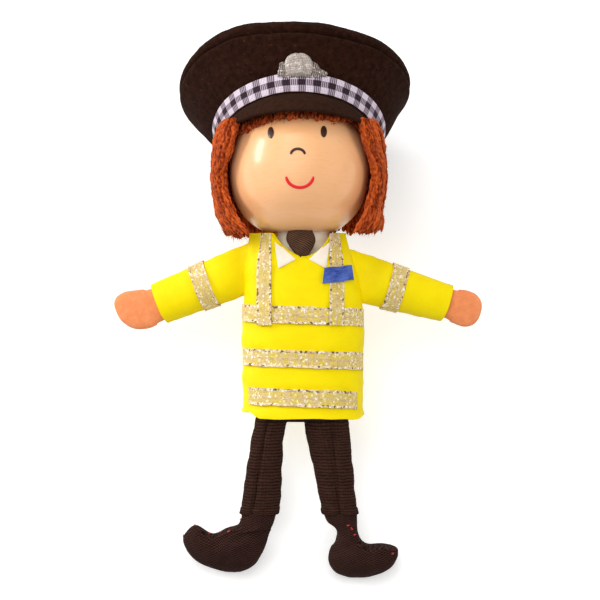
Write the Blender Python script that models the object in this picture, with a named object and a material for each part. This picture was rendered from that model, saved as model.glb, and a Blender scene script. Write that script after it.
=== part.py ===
"""A wooden-headed finger puppet in a bright jacket, lying on its back.

The puppet is modelled in its own frame: X to the viewer's right, Y up the puppet, Z towards the viewer, with
the origin at the centre of the ball head. An empty carries the whole, and the last step lays it on its back
on the ground, face up, so that the cap's rim and the backs of the shoes touch down. Lengths are in metres.
"""

import math
import random

import bmesh
import bpy
from mathutils import Matrix, Vector

# Fits
CLEARANCE = 0.0003
PAINT_GAP = 0.00005
PAINT_THICKNESS = 0.0002
FELT_PRESS = 0.0005

# Head
BALL_RADIUS = 0.0175
CHIN_FLAT_DEPTH = 0.0015
CHIN_DROP = BALL_RADIUS - CHIN_FLAT_DEPTH
NECK_BORE_DEPTH = 0.0080
BALL_SIDES = 30

# Painted face
EYE_LEFT = (-0.0070, 0.0089)
EYE_RIGHT = (0.0062, 0.0091)
EYE_HALF_WIDTH = 0.00075
EYE_HALF_HEIGHT = 0.00138
NOSE_CENTRE = (-0.0003, 0.0033)
NOSE_RADII = (0.0018, 0.0015)
NOSE_STROKE = 0.0005
MOUTH_CENTRE = (0.0002, -0.0020)
MOUTH_RADII = (0.0034, 0.0030)
MOUTH_STROKE = 0.00065

# Hair
STRAND_RIDGE = 0.0004
HAIR_ROOT_LIFT = 0.0032
HAIR_SIDE_BULGE = 0.0008
HAIR_TIP_CURL = 0.0037
BOB_LENGTH = 0.0175
BOB_RAGGED = 0.0007
FRINGE_LIFT = 0.0021
FRINGE_RAGGED_DEGREES = 1.6
FACE_HALF_ANGLE = 75.0
JAW_HALF_ANGLE = 49.0
SIDE_HAIR_END = 128.0
SIDE_HAIR_ROOT = 56.0
BACK_HAIR_ROOT = 84.0
FRINGE_ROOT = 29.0
FRINGE_TIP_MIDDLE = 51.5
FRINGE_TIP_SIDE = 66.0
SIDE_STRANDS = 13
BACK_STRANDS = 22
FRINGE_STRANDS = 22

# Cap, in its own frame with Z up its axis, turned back on the head
HAT_LEAN_DEGREES = 35.0
BAND_FOOT = 0.0090
BAND_RADIUS = BALL_RADIUS + HAIR_ROOT_LIFT
BAND_FLARE = 0.0018
BAND_HEIGHT = 0.0039
FELT = 0.0012
RIBBON = 0.0004
RIBBON_SEAT = 0.00045
CROWN_RADIUS = 0.0287
CROWN_FLARE_HEIGHT = 0.0085
CROWN_SEAM_HEIGHT = BAND_FOOT + BAND_HEIGHT + CROWN_FLARE_HEIGHT
CROWN_LIFT = 0.0016
CROWN_BACK_RISE = 0.0028
CROWN_LEFT_RISE = 0.0006
CROWN_BULGE = 0.0005
CROWN_DOME = 0.0062
HAT_SIDES = 36
PEAK_HALF_ANGLE = 76.0
PEAK_DROP = 0.0078
PEAK_REACH = 0.0026
PEAK_THICKNESS = 0.0010
BADGE_WIDTH = 0.0120
BADGE_HEIGHT = 0.0056
BADGE_THICKNESS = 0.0010

# Jacket, about its own centre line
BODY_SHIFT = 0.0010
NECKLINE = -(CHIN_DROP + CLEARANCE)
HEM = -0.0626
HEM_SIDE_RISE = 0.0018
V_DEPTH = 0.0058
V_HALF_WIDTH = 0.0073
V_ROUNDNESS = 1.8
NECK_HALF_WIDTH = 0.0119
CHEST_HALF_WIDTH = 0.0137
WAIST_HALF_WIDTH = 0.0152
HEM_HALF_WIDTH = 0.0149
CHEST_LEVEL = -0.0245
WAIST_LEVEL = -0.0370
NECK_HALF_DEPTH = 0.0072
HEM_HALF_DEPTH = 0.0085
SATIN = 0.0008
SHOULDER_DEPTH_LEFT = 0.20
SECTION_POWER = 2.5
JACKET_SIDES = 40
JACKET_ROWS = 10

COLLAR_TOP_INNER = (0.0046, -0.0024)
COLLAR_TOP_OUTER = (0.0064, -0.0022)
COLLAR_POINT_INNER = (0.0012, -0.0004)
COLLAR_POINT_OUTER = (0.0056, -0.0028)
TAB_LEFT_EDGE = ((0.0053, 0.0006), (0.0050, -0.0015), (0.0048, -0.0035))
TAB_RIGHT_EDGE = ((0.0121, 0.0013), (0.0123, -0.0006), (0.0126, -0.0026))

# Neck
NECK_TUBE_RADIUS = 0.0046
NECK_TUBE_WALL = 0.0010
NECK_TUBE_FOOT = -0.0270
SHIRT_HALF_WIDTH = 0.0066
SHIRT_HALF_DEPTH = 0.0051
SHIRT_THICKNESS = 0.0005
SHIRT_FOOT = -0.0245
TIE_THICKNESS = 0.0021
TIE_SIDES = 14
# The knot from its top down: distance below the neckline, left edge, right edge, share of its thickness
TIE_OUTLINE = (
    (0.0001, -0.0036, 0.0022, 0.75),
    (0.0008, -0.0040, 0.0027, 0.95),
    (0.0018, -0.0037, 0.0029, 1.00),
    (0.0034, -0.0028, 0.0021, 0.92),
    (0.0048, -0.0016, 0.0010, 0.75),
    (0.0056, -0.0007, 0.0003, 0.45),
)

# Woven metallic ribbon
BAND_RIBBON_WIDTH = 0.0045
CHEST_BAND_LEVEL = -0.0368
WAIST_BAND_LEVEL = -0.0477
HEM_BAND_LEVEL = -0.0574
BAND_DIP = 0.0014
BAND_COLUMNS = 18
BRACE_WIDTH = 0.0036
BRACE_TOP_WIDTH = 0.0022
BRACE_LEVEL = -0.0255
BRACE_LEFT = -0.0099
BRACE_RIGHT = 0.0083
BRACE_TOP_LEFT = -0.0093
BRACE_TOP_RIGHT = 0.0082
TAB_THICKNESS = 0.0004

# Each arm: shoulder, lean in degrees, sleeve length, ribbon's place, hand's length and its bend at the tip
LEFT_ARM = ((-0.0145, -0.0255, 0.0), 21.5, 0.0233, 0.0110, 0.0108, -0.0024)
RIGHT_ARM = ((0.0143, -0.0273, 0.0), 16.7, 0.0232, 0.0091, 0.0086, 0.0)
CUFF_ROLL = 0.0004
CUFF_ROLL_LENGTH = 0.0008
HAND_SIDES = 18
# The mitten past the cuff: share of its length, share of its full width
HAND_OUTLINE = ((0.25, 0.97), (0.50, 1.0), (0.72, 0.93), (0.88, 0.74), (0.97, 0.44), (1.0, 0.18))
SLEEVE_ROOT_HALF_WIDTH = 0.0062
CUFF_HALF_WIDTH = 0.0048
SLEEVE_ROOT_HALF_DEPTH = 0.0040
CUFF_HALF_DEPTH = 0.0031
SLEEVE_OVERRUN = 0.0040
CUFF_SOCKET_DEPTH = 0.0050
ARM_DROOP_DEGREES = 8.0
SLEEVE_RIBBON_WIDTH = 0.0038
HAND_STEM_HALF_WIDTH = 0.0038
HAND_HALF_WIDTH = 0.0048
HAND_HALF_DEPTH = 0.0014

# Legs and shoes, below the hips
HIP_LEVEL = -0.0600
HIP_FORWARD = 0.0042
LEG_DROP_DEGREES = 9.0
LEG_HALF_DEPTH = 0.0029
SEAT_HALF_DEPTH = 0.0012
SEAT_HALF_WIDTH = 0.0085
SEAT_TOP = 0.0060
SEAT_FOOT = 0.0036
SEAT_FOOT_HALF_DEPTH = 0.0016
LEG_SEAM_DEPTH = 0.0004
TROUSER_HEM = -0.0268
SHOE_HALF_DEPTH = 0.0042
SHOE_SOLE_HALF_DEPTH = 0.0050
STUFFED_SIDES = 20
LEFT_LEG_SEAM = 6
RIGHT_LEG_SEAM = 5
# Each leg from the hips down: height, left edge, right edge, share of its full depth
LEFT_LEG_OUTLINE = (
    (-0.0006, -0.0104, -0.0012, 0.35),
    (-0.0040, -0.0112, -0.0032, 0.85),
    (-0.0100, -0.0122, -0.0040, 0.95),
    (-0.0160, -0.0132, -0.0043, 1.00),
    (-0.0220, -0.0140, -0.0045, 1.00),
    (TROUSER_HEM, -0.0147, -0.0052, 1.00),
)
RIGHT_LEG_OUTLINE = (
    (-0.0006, 0.0012, 0.0122, 0.35),
    (-0.0050, 0.0015, 0.0125, 0.85),
    (-0.0100, 0.0025, 0.0130, 0.95),
    (-0.0160, 0.0038, 0.0135, 1.00),
    (-0.0220, 0.0050, 0.0140, 1.00),
    (TROUSER_HEM, 0.0060, 0.0147, 1.00),
)
# Each shoe from the ankle down: distance below the ankle, left edge, right edge, share of its full depth
LEFT_SHOE_OUTLINE = (
    (0.0, -0.0146, -0.0064, 0.72),
    (0.0022, -0.0150, -0.0064, 0.80),
    (0.0036, -0.0186, -0.0067, 0.86),
    (0.0044, -0.0262, -0.0070, 0.80),
    (0.0056, -0.0286, -0.0075, 0.88),
    (0.0072, -0.0290, -0.0080, 1.00),
    (0.0090, -0.0284, -0.0086, 1.00),
    (0.0106, -0.0272, -0.0094, 0.95),
    (0.0122, -0.0248, -0.0106, 0.80),
    (0.0134, -0.0216, -0.0124, 0.60),
    (0.0143, -0.0184, -0.0146, 0.30),
)
RIGHT_SHOE_OUTLINE = (
    (0.0, 0.0064, 0.0148, 0.72),
    (0.0022, 0.0076, 0.0147, 0.80),
    (0.0040, 0.0094, 0.0148, 0.84),
    (0.0060, 0.0092, 0.0158, 0.86),
    (0.0072, 0.0086, 0.0190, 0.88),
    (0.0082, 0.0078, 0.0240, 0.92),
    (0.0100, 0.0072, 0.0248, 1.00),
    (0.0116, 0.0072, 0.0244, 1.00),
    (0.0132, 0.0079, 0.0232, 0.92),
    (0.0146, 0.0094, 0.0206, 0.72),
    (0.0157, 0.0124, 0.0174, 0.32),
)
SHOE_SOLE_START = 0.0030
SHOE_SOLE_FULL = 0.0090

PEN_SEED = 7


# Scene and materials


def clear_scene():
    for thing in list(bpy.data.objects):
        bpy.data.objects.remove(thing, do_unlink=True)


def finish(name, colour, roughness, metallic=0.0):
    made = bpy.data.materials.new(name)
    made.use_nodes = True
    shader = made.node_tree.nodes["Principled BSDF"]
    shader.inputs["Base Color"].default_value = (*colour, 1.0)
    shader.inputs["Roughness"].default_value = roughness
    shader.inputs["Metallic"].default_value = metallic
    made.diffuse_color = (*colour, 1.0)
    return made


def make_finishes():
    return {
        "wood": finish("painted wood", (0.97, 0.58, 0.30), 0.28),
        "paint_dark": finish("dark paint", (0.03, 0.012, 0.008), 0.35),
        "paint_red": finish("red paint", (0.83, 0.012, 0.02), 0.35),
        "yarn": finish("rust yarn", (0.40, 0.055, 0.010), 0.95),
        "felt": finish("black felt", (0.018, 0.009, 0.006), 0.95),
        "wadding": finish("wadding", (0.75, 0.74, 0.70), 1.0),
        "gingham": finish("gingham ribbon", (0.35, 0.31, 0.34), 0.8),
        "peak": finish("smooth peak", (0.030, 0.012, 0.007), 0.6),
        "silver": finish("silver ribbon", (0.48, 0.42, 0.40), 0.4, 0.6),
        "satin": finish("yellow satin", (0.94, 0.80, 0.005), 0.55),
        "metal_ribbon": finish("metallic ribbon", (0.70, 0.58, 0.30), 0.4, 0.5),
        "white": finish("white cotton", (0.90, 0.86, 0.78), 0.85),
        "tie": finish("ribbed black ribbon", (0.050, 0.026, 0.014), 0.5),
        "blue": finish("blue satin", (0.045, 0.10, 0.42), 0.4),
        "skin_felt": finish("tan felt", (0.90, 0.33, 0.14), 0.95),
        "cord": finish("corded fabric", (0.032, 0.014, 0.010), 0.9),
        "twill": finish("twill", (0.030, 0.013, 0.011), 0.85),
    }


def place(name, mesh, material, parent):
    """Turn a bmesh into a named object under its parent, in the parent's frame."""
    bmesh.ops.recalc_face_normals(mesh, faces=mesh.faces)
    data = bpy.data.meshes.new(name)
    mesh.to_mesh(data)
    mesh.free()
    data.shade_smooth()
    data.set_sharp_from_angle(angle=math.radians(40.0))
    data.materials.append(material)
    thing = bpy.data.objects.new(name, data)
    bpy.context.collection.objects.link(thing)
    thing.parent = parent
    return thing


def empty(name, parent=None, location=(0.0, 0.0, 0.0), turn=(0.0, 0.0, 0.0)):
    thing = bpy.data.objects.new(name, None)
    thing.location = location
    thing.rotation_euler = turn
    thing.parent = parent
    bpy.context.collection.objects.link(thing)
    return thing


def helper(thing):
    """Mark a cutter or a guide, which isn't a piece of the puppet."""
    thing.hide_render = True
    thing.display_type = "WIRE"
    return thing


def combine(target, other, operation):
    step = target.modifiers.new(f"{operation.lower()}_{other.name}", "BOOLEAN")
    step.operation = operation
    step.object = other
    step.solver = "EXACT"


# Numbers


def mix(a, b, share):
    return a + (b - a) * share


def ease(low, high, value):
    share = min(max((value - low) / (high - low), 0.0), 1.0)
    return share * share * (3.0 - 2.0 * share)


def along(stations, value):
    """Read a smooth value between (place, value) stations that run in falling order of place."""
    for (start, first), (stop, last) in zip(stations, stations[1:]):
        if value >= stop:
            return mix(first, last, ease(0.0, 1.0, (start - value) / (start - stop)))
    return stations[-1][1]


def curve_through(points, steps):
    """Points on a smooth open curve through the given ones."""
    ends = [points[0], *points, points[-1]]
    found = []
    for before, start, stop, after in zip(ends, ends[1:], ends[2:], ends[3:]):
        for step in range(steps):
            t = step / steps
            point = []
            for a, b, c, d in zip(before, start, stop, after):
                bend = (2 * a - 5 * b + 4 * c - d) * t**2 + (3 * b - a - 3 * c + d) * t**3
                point.append(0.5 * (2 * b + (c - a) * t + bend))
            found.append(tuple(point))
    found.append(tuple(points[-1]))
    return found


# Mesh builders


def revolve(profile, steps, closed=False):
    """Spin a profile of (radius, height) about Z."""
    mesh = bmesh.new()
    verts = [mesh.verts.new((radius, 0.0, height)) for radius, height in profile]
    edges = [mesh.edges.new(pair) for pair in zip(verts, verts[1:])]
    if closed:
        edges.append(mesh.edges.new((verts[-1], verts[0])))
    bmesh.ops.spin(mesh, geom=verts + edges, axis=(0, 0, 1), cent=(0, 0, 0), angle=math.tau, steps=steps)
    bmesh.ops.remove_doubles(mesh, verts=mesh.verts, dist=1e-7)
    return mesh


def loft(rings):
    """Join rings of points in order and close both ends."""
    mesh = bmesh.new()
    rows = [[mesh.verts.new(point) for point in ring] for ring in rings]
    count = len(rows[0])
    for low, high in zip(rows, rows[1:]):
        for i in range(count):
            j = (i + 1) % count
            mesh.faces.new((low[i], low[j], high[j], high[i]))
    mesh.faces.new(list(reversed(rows[0])))
    mesh.faces.new(rows[-1])
    return mesh


def slab(outer, inner, wrap=False):
    """Close the space between two facing grids of points; wrap joins the last column to the first."""
    mesh = bmesh.new()
    grids = [[[mesh.verts.new(point) for point in column] for column in grid] for grid in (outer, inner)]
    columns = len(outer)
    rows = len(outer[0])
    last = columns if wrap else columns - 1
    for grid in grids:
        for i in range(last):
            for j in range(rows - 1):
                right = grid[(i + 1) % columns]
                mesh.faces.new((grid[i][j], right[j], right[j + 1], grid[i][j + 1]))
    top, bottom = grids
    for i in range(last):
        k = (i + 1) % columns
        for j in (0, rows - 1):
            mesh.faces.new((top[i][j], top[k][j], bottom[k][j], bottom[i][j]))
    if not wrap:
        for i in (0, columns - 1):
            for j in range(rows - 1):
                mesh.faces.new((top[i][j], top[i][j + 1], bottom[i][j + 1], bottom[i][j]))
    return mesh


def oval(y, left, right, half_depth, depth_centre=0.0, sides=STUFFED_SIDES, power=2.2, seam=None):
    """One ring across a stuffed piece: an oval from left to right at height y, with a seam pinched in."""
    centre = 0.5 * (left + right)
    half = 0.5 * (right - left)
    ring = []
    for step in range(sides):
        angle = math.tau * step / sides
        c, s = math.cos(angle), math.sin(angle)
        x = centre + half * math.copysign(abs(c) ** (2.0 / power), c)
        z = depth_centre + half_depth * math.copysign(abs(s) ** (2.0 / power), s)
        if step == seam:
            z -= LEG_SEAM_DEPTH
        ring.append((x, y, z))
    return ring


# Head


def add_ball(head, finishes):
    bore_radius = NECK_TUBE_RADIUS + CLEARANCE
    chin = math.asin(CHIN_DROP / BALL_RADIUS)
    bore_end = NECK_BORE_DEPTH - CHIN_DROP
    profile = [(0.0, bore_end), (bore_radius, bore_end), (bore_radius, -CHIN_DROP)]
    rows = BALL_SIDES // 2
    for row in range(rows + 1):
        rise = mix(-chin, math.pi / 2, row / rows)
        profile.append((BALL_RADIUS * math.cos(rise) if row < rows else 0.0, BALL_RADIUS * math.sin(rise)))
    mesh = revolve(profile, BALL_SIDES)
    mesh.transform(Matrix.Rotation(-math.pi / 2, 4, "X"))
    return place("head_ball", mesh, finishes["wood"], head)


def on_ball(x, y, lift):
    """The point at (x, y) on the front of the ball, lifted off it."""
    front = Vector((x, y, math.sqrt(BALL_RADIUS**2 - x**2 - y**2)))
    return front.normalized() * (BALL_RADIUS + lift)


def painted_strip(name, centres, width, material, head):
    """A brush stroke of even width along the centres, hugging the ball."""
    rails = []
    for i, (x, y) in enumerate(centres):
        before = centres[max(i - 1, 0)]
        after = centres[min(i + 1, len(centres) - 1)]
        run = Vector((after[0] - before[0], after[1] - before[1])).normalized()
        side = Vector((-run.y, run.x)) * width / 2
        rails.append([(x + side.x * s, y + side.y * s) for s in (-1.0, 1.0)])
    top = PAINT_GAP + PAINT_THICKNESS
    outer = [[on_ball(x, y, top) for x, y in rail] for rail in rails]
    inner = [[on_ball(x, y, PAINT_GAP) for x, y in rail] for rail in rails]
    return place(name, slab(outer, inner), material, head)


def painted_dot(name, centre, material, head, sides=14):
    """An oval dab of paint: a ring of points about the middle, hugging the ball."""
    rims = []
    for share in (0.5, 1.0):
        angles = [math.tau * step / sides for step in range(sides)]
        rims.append(
            [
                (
                    centre[0] + EYE_HALF_WIDTH * share * math.cos(a),
                    centre[1] + EYE_HALF_HEIGHT * share * math.sin(a),
                )
                for a in angles
            ]
        )
    top = PAINT_GAP + PAINT_THICKNESS
    rings = [
        [on_ball(x, y, PAINT_GAP) for x, y in rims[0]],
        [on_ball(x, y, PAINT_GAP) for x, y in rims[1]],
        [on_ball(x, y, top) for x, y in rims[1]],
        [on_ball(x, y, top) for x, y in rims[0]],
    ]
    return place(name, loft(rings), material, head)


def add_face(head, finishes):
    painted_dot("eye_left", EYE_LEFT, finishes["paint_dark"], head)
    painted_dot("eye_right", EYE_RIGHT, finishes["paint_dark"], head)
    strokes = (
        ("nose_line", NOSE_CENTRE, NOSE_RADII, (168.0, 12.0), NOSE_STROKE, "paint_dark"),
        ("mouth_line", MOUTH_CENTRE, MOUTH_RADII, (184.0, 356.0), MOUTH_STROKE, "paint_red"),
    )
    for name, centre, radii, sweep, width, material in strokes:
        steps = 14
        angles = [math.radians(mix(*sweep, step / steps)) for step in range(steps + 1)]
        points = [(centre[0] + radii[0] * math.cos(a), centre[1] + radii[1] * math.sin(a)) for a in angles]
        painted_strip(name, points, width, finishes[material], head)


# Hair


def hair_point(azimuth, polar, lift):
    """A point over the ball, azimuth from the face and polar angle from the top.

    Past the widest part the hair falls straight, curling in a little towards its tips.
    """
    radius = BALL_RADIUS + lift
    turn = math.radians(azimuth)
    if polar <= 90.0:
        rise = math.radians(polar)
        reach = radius * math.sin(rise)
        return Vector((reach * math.sin(turn), radius * math.cos(rise), reach * math.cos(turn)))
    drop = math.radians(polar - 90.0) * BALL_RADIUS
    reach = radius - HAIR_TIP_CURL * (drop / BALL_RADIUS) ** 2
    return Vector((reach * math.sin(turn), -drop, reach * math.cos(turn)))


def bob_lift(azimuth, polar):
    beside = 1.0 - ease(95.0, 125.0, abs(azimuth))
    return HAIR_ROOT_LIFT + HAIR_SIDE_BULGE * ease(72.0, 92.0, polar) * beside


def strands_mesh(strands, rows, root, tip, azimuth, lift, ragged, pen):
    """Yarn laid side by side: each strand is a ridge with its own length, between two valleys."""
    outer, inner = [], []
    for column in range(2 * strands + 1):
        share = column / (2 * strands)
        ridge = STRAND_RIDGE if column % 2 else 0.0
        end = tip(share) + (pen.uniform(-ragged, ragged) if column % 2 else -ragged)
        top_side, under_side = [], []
        for row in range(rows + 1):
            polar = mix(root(share), end, row / rows)
            turn = azimuth(share, polar)
            taper = 1.0 - 0.35 * (row / rows) ** 3
            thickness = (lift(turn, polar) - CLEARANCE + ridge - STRAND_RIDGE) * taper
            top_side.append(hair_point(turn, polar, CLEARANCE + thickness))
            under_side.append(hair_point(turn, polar, CLEARANCE))
        outer.append(top_side)
        inner.append(under_side)
    return slab(outer, inner)


def add_hair(head, finishes):
    pen = random.Random(PEN_SEED)
    bob_tip = 90.0 + math.degrees(BOB_LENGTH / BALL_RADIUS)
    ragged = math.degrees(BOB_RAGGED / BALL_RADIUS)

    def face_edge(polar):
        return mix(FACE_HALF_ANGLE, JAW_HALF_ANGLE, ease(100.0, bob_tip, polar))

    def tip(share):
        return bob_tip

    def side_root(share):
        return SIDE_HAIR_ROOT

    def back_root(share):
        return BACK_HAIR_ROOT

    gap = math.degrees(CLEARANCE / BALL_RADIUS)
    for name, side in (("hair_left", -1.0), ("hair_right", 1.0)):

        def side_azimuth(share, polar, side=side):
            return side * mix(face_edge(polar), SIDE_HAIR_END - gap, share)

        mesh = strands_mesh(SIDE_STRANDS, 6, side_root, tip, side_azimuth, bob_lift, ragged, pen)
        place(name, mesh, finishes["yarn"], head)

    def back_azimuth(share, polar):
        return mix(SIDE_HAIR_END + gap, 360.0 - SIDE_HAIR_END - gap, share)

    def back_lift(azimuth, polar):
        return HAIR_ROOT_LIFT

    mesh = strands_mesh(BACK_STRANDS, 5, back_root, tip, back_azimuth, back_lift, ragged, pen)
    place("hair_back", mesh, finishes["yarn"], head)

    def fringe_azimuth(share, polar):
        return mix(-1.0, 1.0, share) * (FACE_HALF_ANGLE - 2 * gap)

    def fringe_tip(share):
        return mix(FRINGE_TIP_MIDDLE, FRINGE_TIP_SIDE, abs(2 * share - 1) ** 2)

    def fringe_root(share):
        return FRINGE_ROOT

    def fringe_lift(azimuth, polar):
        return FRINGE_LIFT

    mesh = strands_mesh(
        FRINGE_STRANDS, 3, fringe_root, fringe_tip, fringe_azimuth, fringe_lift, FRINGE_RAGGED_DEGREES, pen
    )
    place("hair_fringe", mesh, finishes["yarn"], head)


# Cap


def wall_profile(line, thickness):
    """A closed profile: the line, and back along it set in towards the axis by the thickness."""
    return line + [(radius - thickness, height) for radius, height in reversed(line)]


def band_radius(height):
    return BAND_RADIUS + BAND_FLARE * (height - BAND_FOOT) / BAND_HEIGHT


def hat_point(radius, height, azimuth):
    turn = math.radians(azimuth)
    return Vector((radius * math.sin(turn), -radius * math.cos(turn), height))


def lean_crown(mesh):
    """Raise the crown, more at its back and left than at its front, as the stuffed cap sits."""
    band_top = BAND_FOOT + BAND_HEIGHT
    for vertex in mesh.verts:
        share = ease(band_top, CROWN_SEAM_HEIGHT, vertex.co.z)
        back, left = vertex.co.y / CROWN_RADIUS, -vertex.co.x / CROWN_RADIUS
        vertex.co.z += share * (CROWN_LIFT + CROWN_BACK_RISE * back + CROWN_LEFT_RISE * left)
    return mesh


def under_line():
    """The flare of the under panel, from the top of the band out to the seam."""
    foot = BAND_FOOT + BAND_HEIGHT + CLEARANCE
    start = (band_radius(foot), foot)
    end = (CROWN_RADIUS - CLEARANCE, CROWN_SEAM_HEIGHT)
    rise = end[1] - start[1]
    middle = [
        (mix(start[0], end[0], 0.40), start[1] + 0.29 * rise),
        (mix(start[0], end[0], 0.78), start[1] + 0.66 * rise),
    ]
    return [(r, h) for r, h in curve_through([start, *middle, end], 2)]


def dome_line():
    """The top panel, from the seam round the rim to the middle of the crown."""
    seam = CROWN_SEAM_HEIGHT + CLEARANCE
    points = [
        (CROWN_RADIUS, seam),
        (CROWN_RADIUS + CROWN_BULGE, seam + 0.20 * CROWN_DOME),
        (CROWN_RADIUS * 0.96, seam + 0.58 * CROWN_DOME),
        (CROWN_RADIUS * 0.82, seam + 0.90 * CROWN_DOME),
        (CROWN_RADIUS * 0.45, seam + CROWN_DOME),
    ]
    return [(r, h) for r, h in curve_through(points, 2)] + [(0.0, seam + CROWN_DOME)]


def add_hat(hat, finishes):
    dome = dome_line()
    under = under_line()
    top_panel = dome + [(max(r - FELT, 0.0), h - FELT) for r, h in reversed(dome[5::2])]
    top_panel += [(r - FELT, h) for r, h in reversed(dome[:4:3])]
    place("hat_top_panel", lean_crown(revolve(top_panel, HAT_SIDES, closed=True)), finishes["felt"], hat)
    under_panel = lean_crown(revolve(wall_profile(under, FELT), HAT_SIDES, closed=True))
    place("hat_under_panel", under_panel, finishes["felt"], hat)

    set_in = FELT + CLEARANCE
    roof = CROWN_SEAM_HEIGHT + CROWN_DOME - set_in
    floor = BALL_RADIUS + CLEARANCE
    side = [(r - set_in - CLEARANCE, h) for r, h in under if h > floor]
    start = (side[0][0] - 3 * CLEARANCE, floor)
    wadding = [(0.0, floor), start, *side]
    wadding.append((CROWN_RADIUS - set_in - 3 * CLEARANCE, CROWN_SEAM_HEIGHT + 0.30 * CROWN_DOME))
    wadding.append((CROWN_RADIUS * 0.80, roof - 4 * CLEARANCE))
    wadding += [(CROWN_RADIUS * 0.44, roof - CLEARANCE), (0.0, roof - CLEARANCE)]
    place("hat_stuffing", lean_crown(revolve(wadding, HAT_SIDES // 2)), finishes["wadding"], hat)

    band = [(band_radius(h), h) for h in (BAND_FOOT, BAND_FOOT + BAND_HEIGHT)]
    place("hat_band", revolve(wall_profile(band, FELT), HAT_SIDES, closed=True), finishes["felt"], hat)
    edge = 0.0001
    ribbon = [
        (band_radius(h) + CLEARANCE + RIBBON, h) for h in (BAND_FOOT + edge, BAND_FOOT + BAND_HEIGHT - edge)
    ]
    ribbon_wall = wall_profile(ribbon, RIBBON)
    place("hat_ribbon", revolve(ribbon_wall, HAT_SIDES, closed=True), finishes["gingham"], hat)
    add_peak(hat, finishes)
    add_badge(hat, finishes)


def add_peak(hat, finishes):
    columns, rows = 20, 3
    outer, inner = [], []
    for column in range(columns + 1):
        share = mix(-1.0, 1.0, column / columns)
        azimuth = share * PEAK_HALF_ANGLE
        spread = max(math.cos(share * math.pi / 2), 0.0) ** 0.8
        drop = 0.0006 + PEAK_DROP * spread
        top_side, under_side = [], []
        for row in range(rows + 1):
            down = row / rows
            height = BAND_FOOT - CLEARANCE - drop * down
            bow = PEAK_REACH * spread * (down + 0.25 * math.sin(math.pi * down))
            radius = BAND_RADIUS + CLEARANCE + bow
            top_side.append(hat_point(radius, height, azimuth))
            under_side.append(hat_point(radius - PEAK_THICKNESS, height + 0.0001 * down, azimuth))
        outer.append(top_side)
        inner.append(under_side)
    place("hat_peak", slab(outer, inner), finishes["peak"], hat)


def add_badge(hat, finishes):
    """A gathered scrap of ribbon: folds across it, with wings thinner than its middle."""
    line = under_line()
    foot, head = BAND_FOOT + BAND_HEIGHT + CLEARANCE, CROWN_SEAM_HEIGHT
    columns, rows = 16, 4

    def under_radius(height):
        for (r0, h0), (r1, h1) in zip(line, line[1:]):
            if height <= h1:
                return mix(r0, r1, (height - h0) / (h1 - h0))
        return line[-1][0]

    outer, inner = [], []
    for column in range(columns + 1):
        share = mix(-1.0, 1.0, column / columns)
        azimuth = math.degrees(share * BADGE_WIDTH / 2 / BAND_RADIUS)
        tall = BADGE_HEIGHT * (1.0 - 0.55 * ease(0.40, 0.75, abs(share)))
        top_side, under_side = [], []
        for row in range(rows + 1):
            height = min(foot + 0.0002 + tall * row / rows, head)
            fold = 0.5 + 0.5 * math.sin(7.0 * share + 9.0 * row / rows)
            thick = BADGE_THICKNESS * (0.45 + 0.55 * fold) * (1.0 - 0.6 * ease(0.35, 0.9, abs(share)))
            base = under_radius(height) + 2 * CLEARANCE
            top_side.append(hat_point(base + thick, height - 0.3 * thick, azimuth))
            under_side.append(hat_point(base, height, azimuth))
        outer.append(top_side)
        inner.append(under_side)
    place("hat_badge", lean_crown(slab(outer, inner)), finishes["silver"], hat)


# Jacket


def half_width(y):
    stations = (
        (NECKLINE, NECK_HALF_WIDTH),
        (CHEST_LEVEL, CHEST_HALF_WIDTH),
        (WAIST_LEVEL, WAIST_HALF_WIDTH),
        (HEM, HEM_HALF_WIDTH),
    )
    return along(stations, y)


def jacket_point(turn, y, lift):
    """A point of the jacket's skin: turn goes round from the right side over the front, lift is outwards."""
    across = half_width(y)
    c, s = math.cos(turn), math.sin(turn)
    x = math.copysign(abs(c) ** (2.0 / SECTION_POWER), c)
    z = math.copysign(abs(s) ** (2.0 / SECTION_POWER), s)
    depth = mix(NECK_HALF_DEPTH, HEM_HALF_DEPTH, (NECKLINE - y) / (NECKLINE - HEM))
    pinch = ease(V_HALF_WIDTH, NECK_HALF_WIDTH, abs(x) * across) * ease(CHEST_LEVEL, NECKLINE, y)
    depth *= mix(1.0, SHOULDER_DEPTH_LEFT, pinch)
    reach = max(depth + lift, CLEARANCE)
    flat_back = NECK_TUBE_RADIUS + CLEARANCE + SATIN
    return Vector((x * (across + lift), y, max(z * reach, -flat_back - lift)))


def turn_at(x, y):
    """The turn at which the jacket's front passes over x."""
    share = min(abs(x) / half_width(y), 1.0)
    angle = math.acos(share ** (SECTION_POWER / 2.0))
    return angle if x >= 0 else math.pi - angle


def jacket_grid(lift, neck=True):
    columns = []
    for column in range(JACKET_SIDES):
        turn = math.tau * column / JACKET_SIDES
        x = jacket_point(turn, NECKLINE, 0.0).x
        front = math.sin(turn) > 0
        dip = V_DEPTH * max(1.0 - (abs(x) / V_HALF_WIDTH) ** V_ROUNDNESS, 0.0) if front and neck else 0.0
        low = HEM + HEM_SIDE_RISE * ease(0.80, 1.0, abs(x) / NECK_HALF_WIDTH)
        high = NECKLINE - dip
        rows = [mix(high, low, (row / JACKET_ROWS) ** 1.6) for row in range(JACKET_ROWS + 1)]
        columns.append([jacket_point(turn, y, lift) for y in rows])
    return columns


def add_jacket(body, finishes):
    mesh = slab(jacket_grid(0.0), jacket_grid(-SATIN), wrap=True)
    return place("jacket", mesh, finishes["satin"], body)


def jacket_former(body, material):
    """The jacket's outer form, filled and a clearance larger, which trims what is sewn against it."""
    grid = jacket_grid(CLEARANCE, neck=False)
    rings = [[column[row] for column in grid] for row in range(JACKET_ROWS + 1)]
    return helper(place("jacket_former", loft(rings), material, body))


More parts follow.
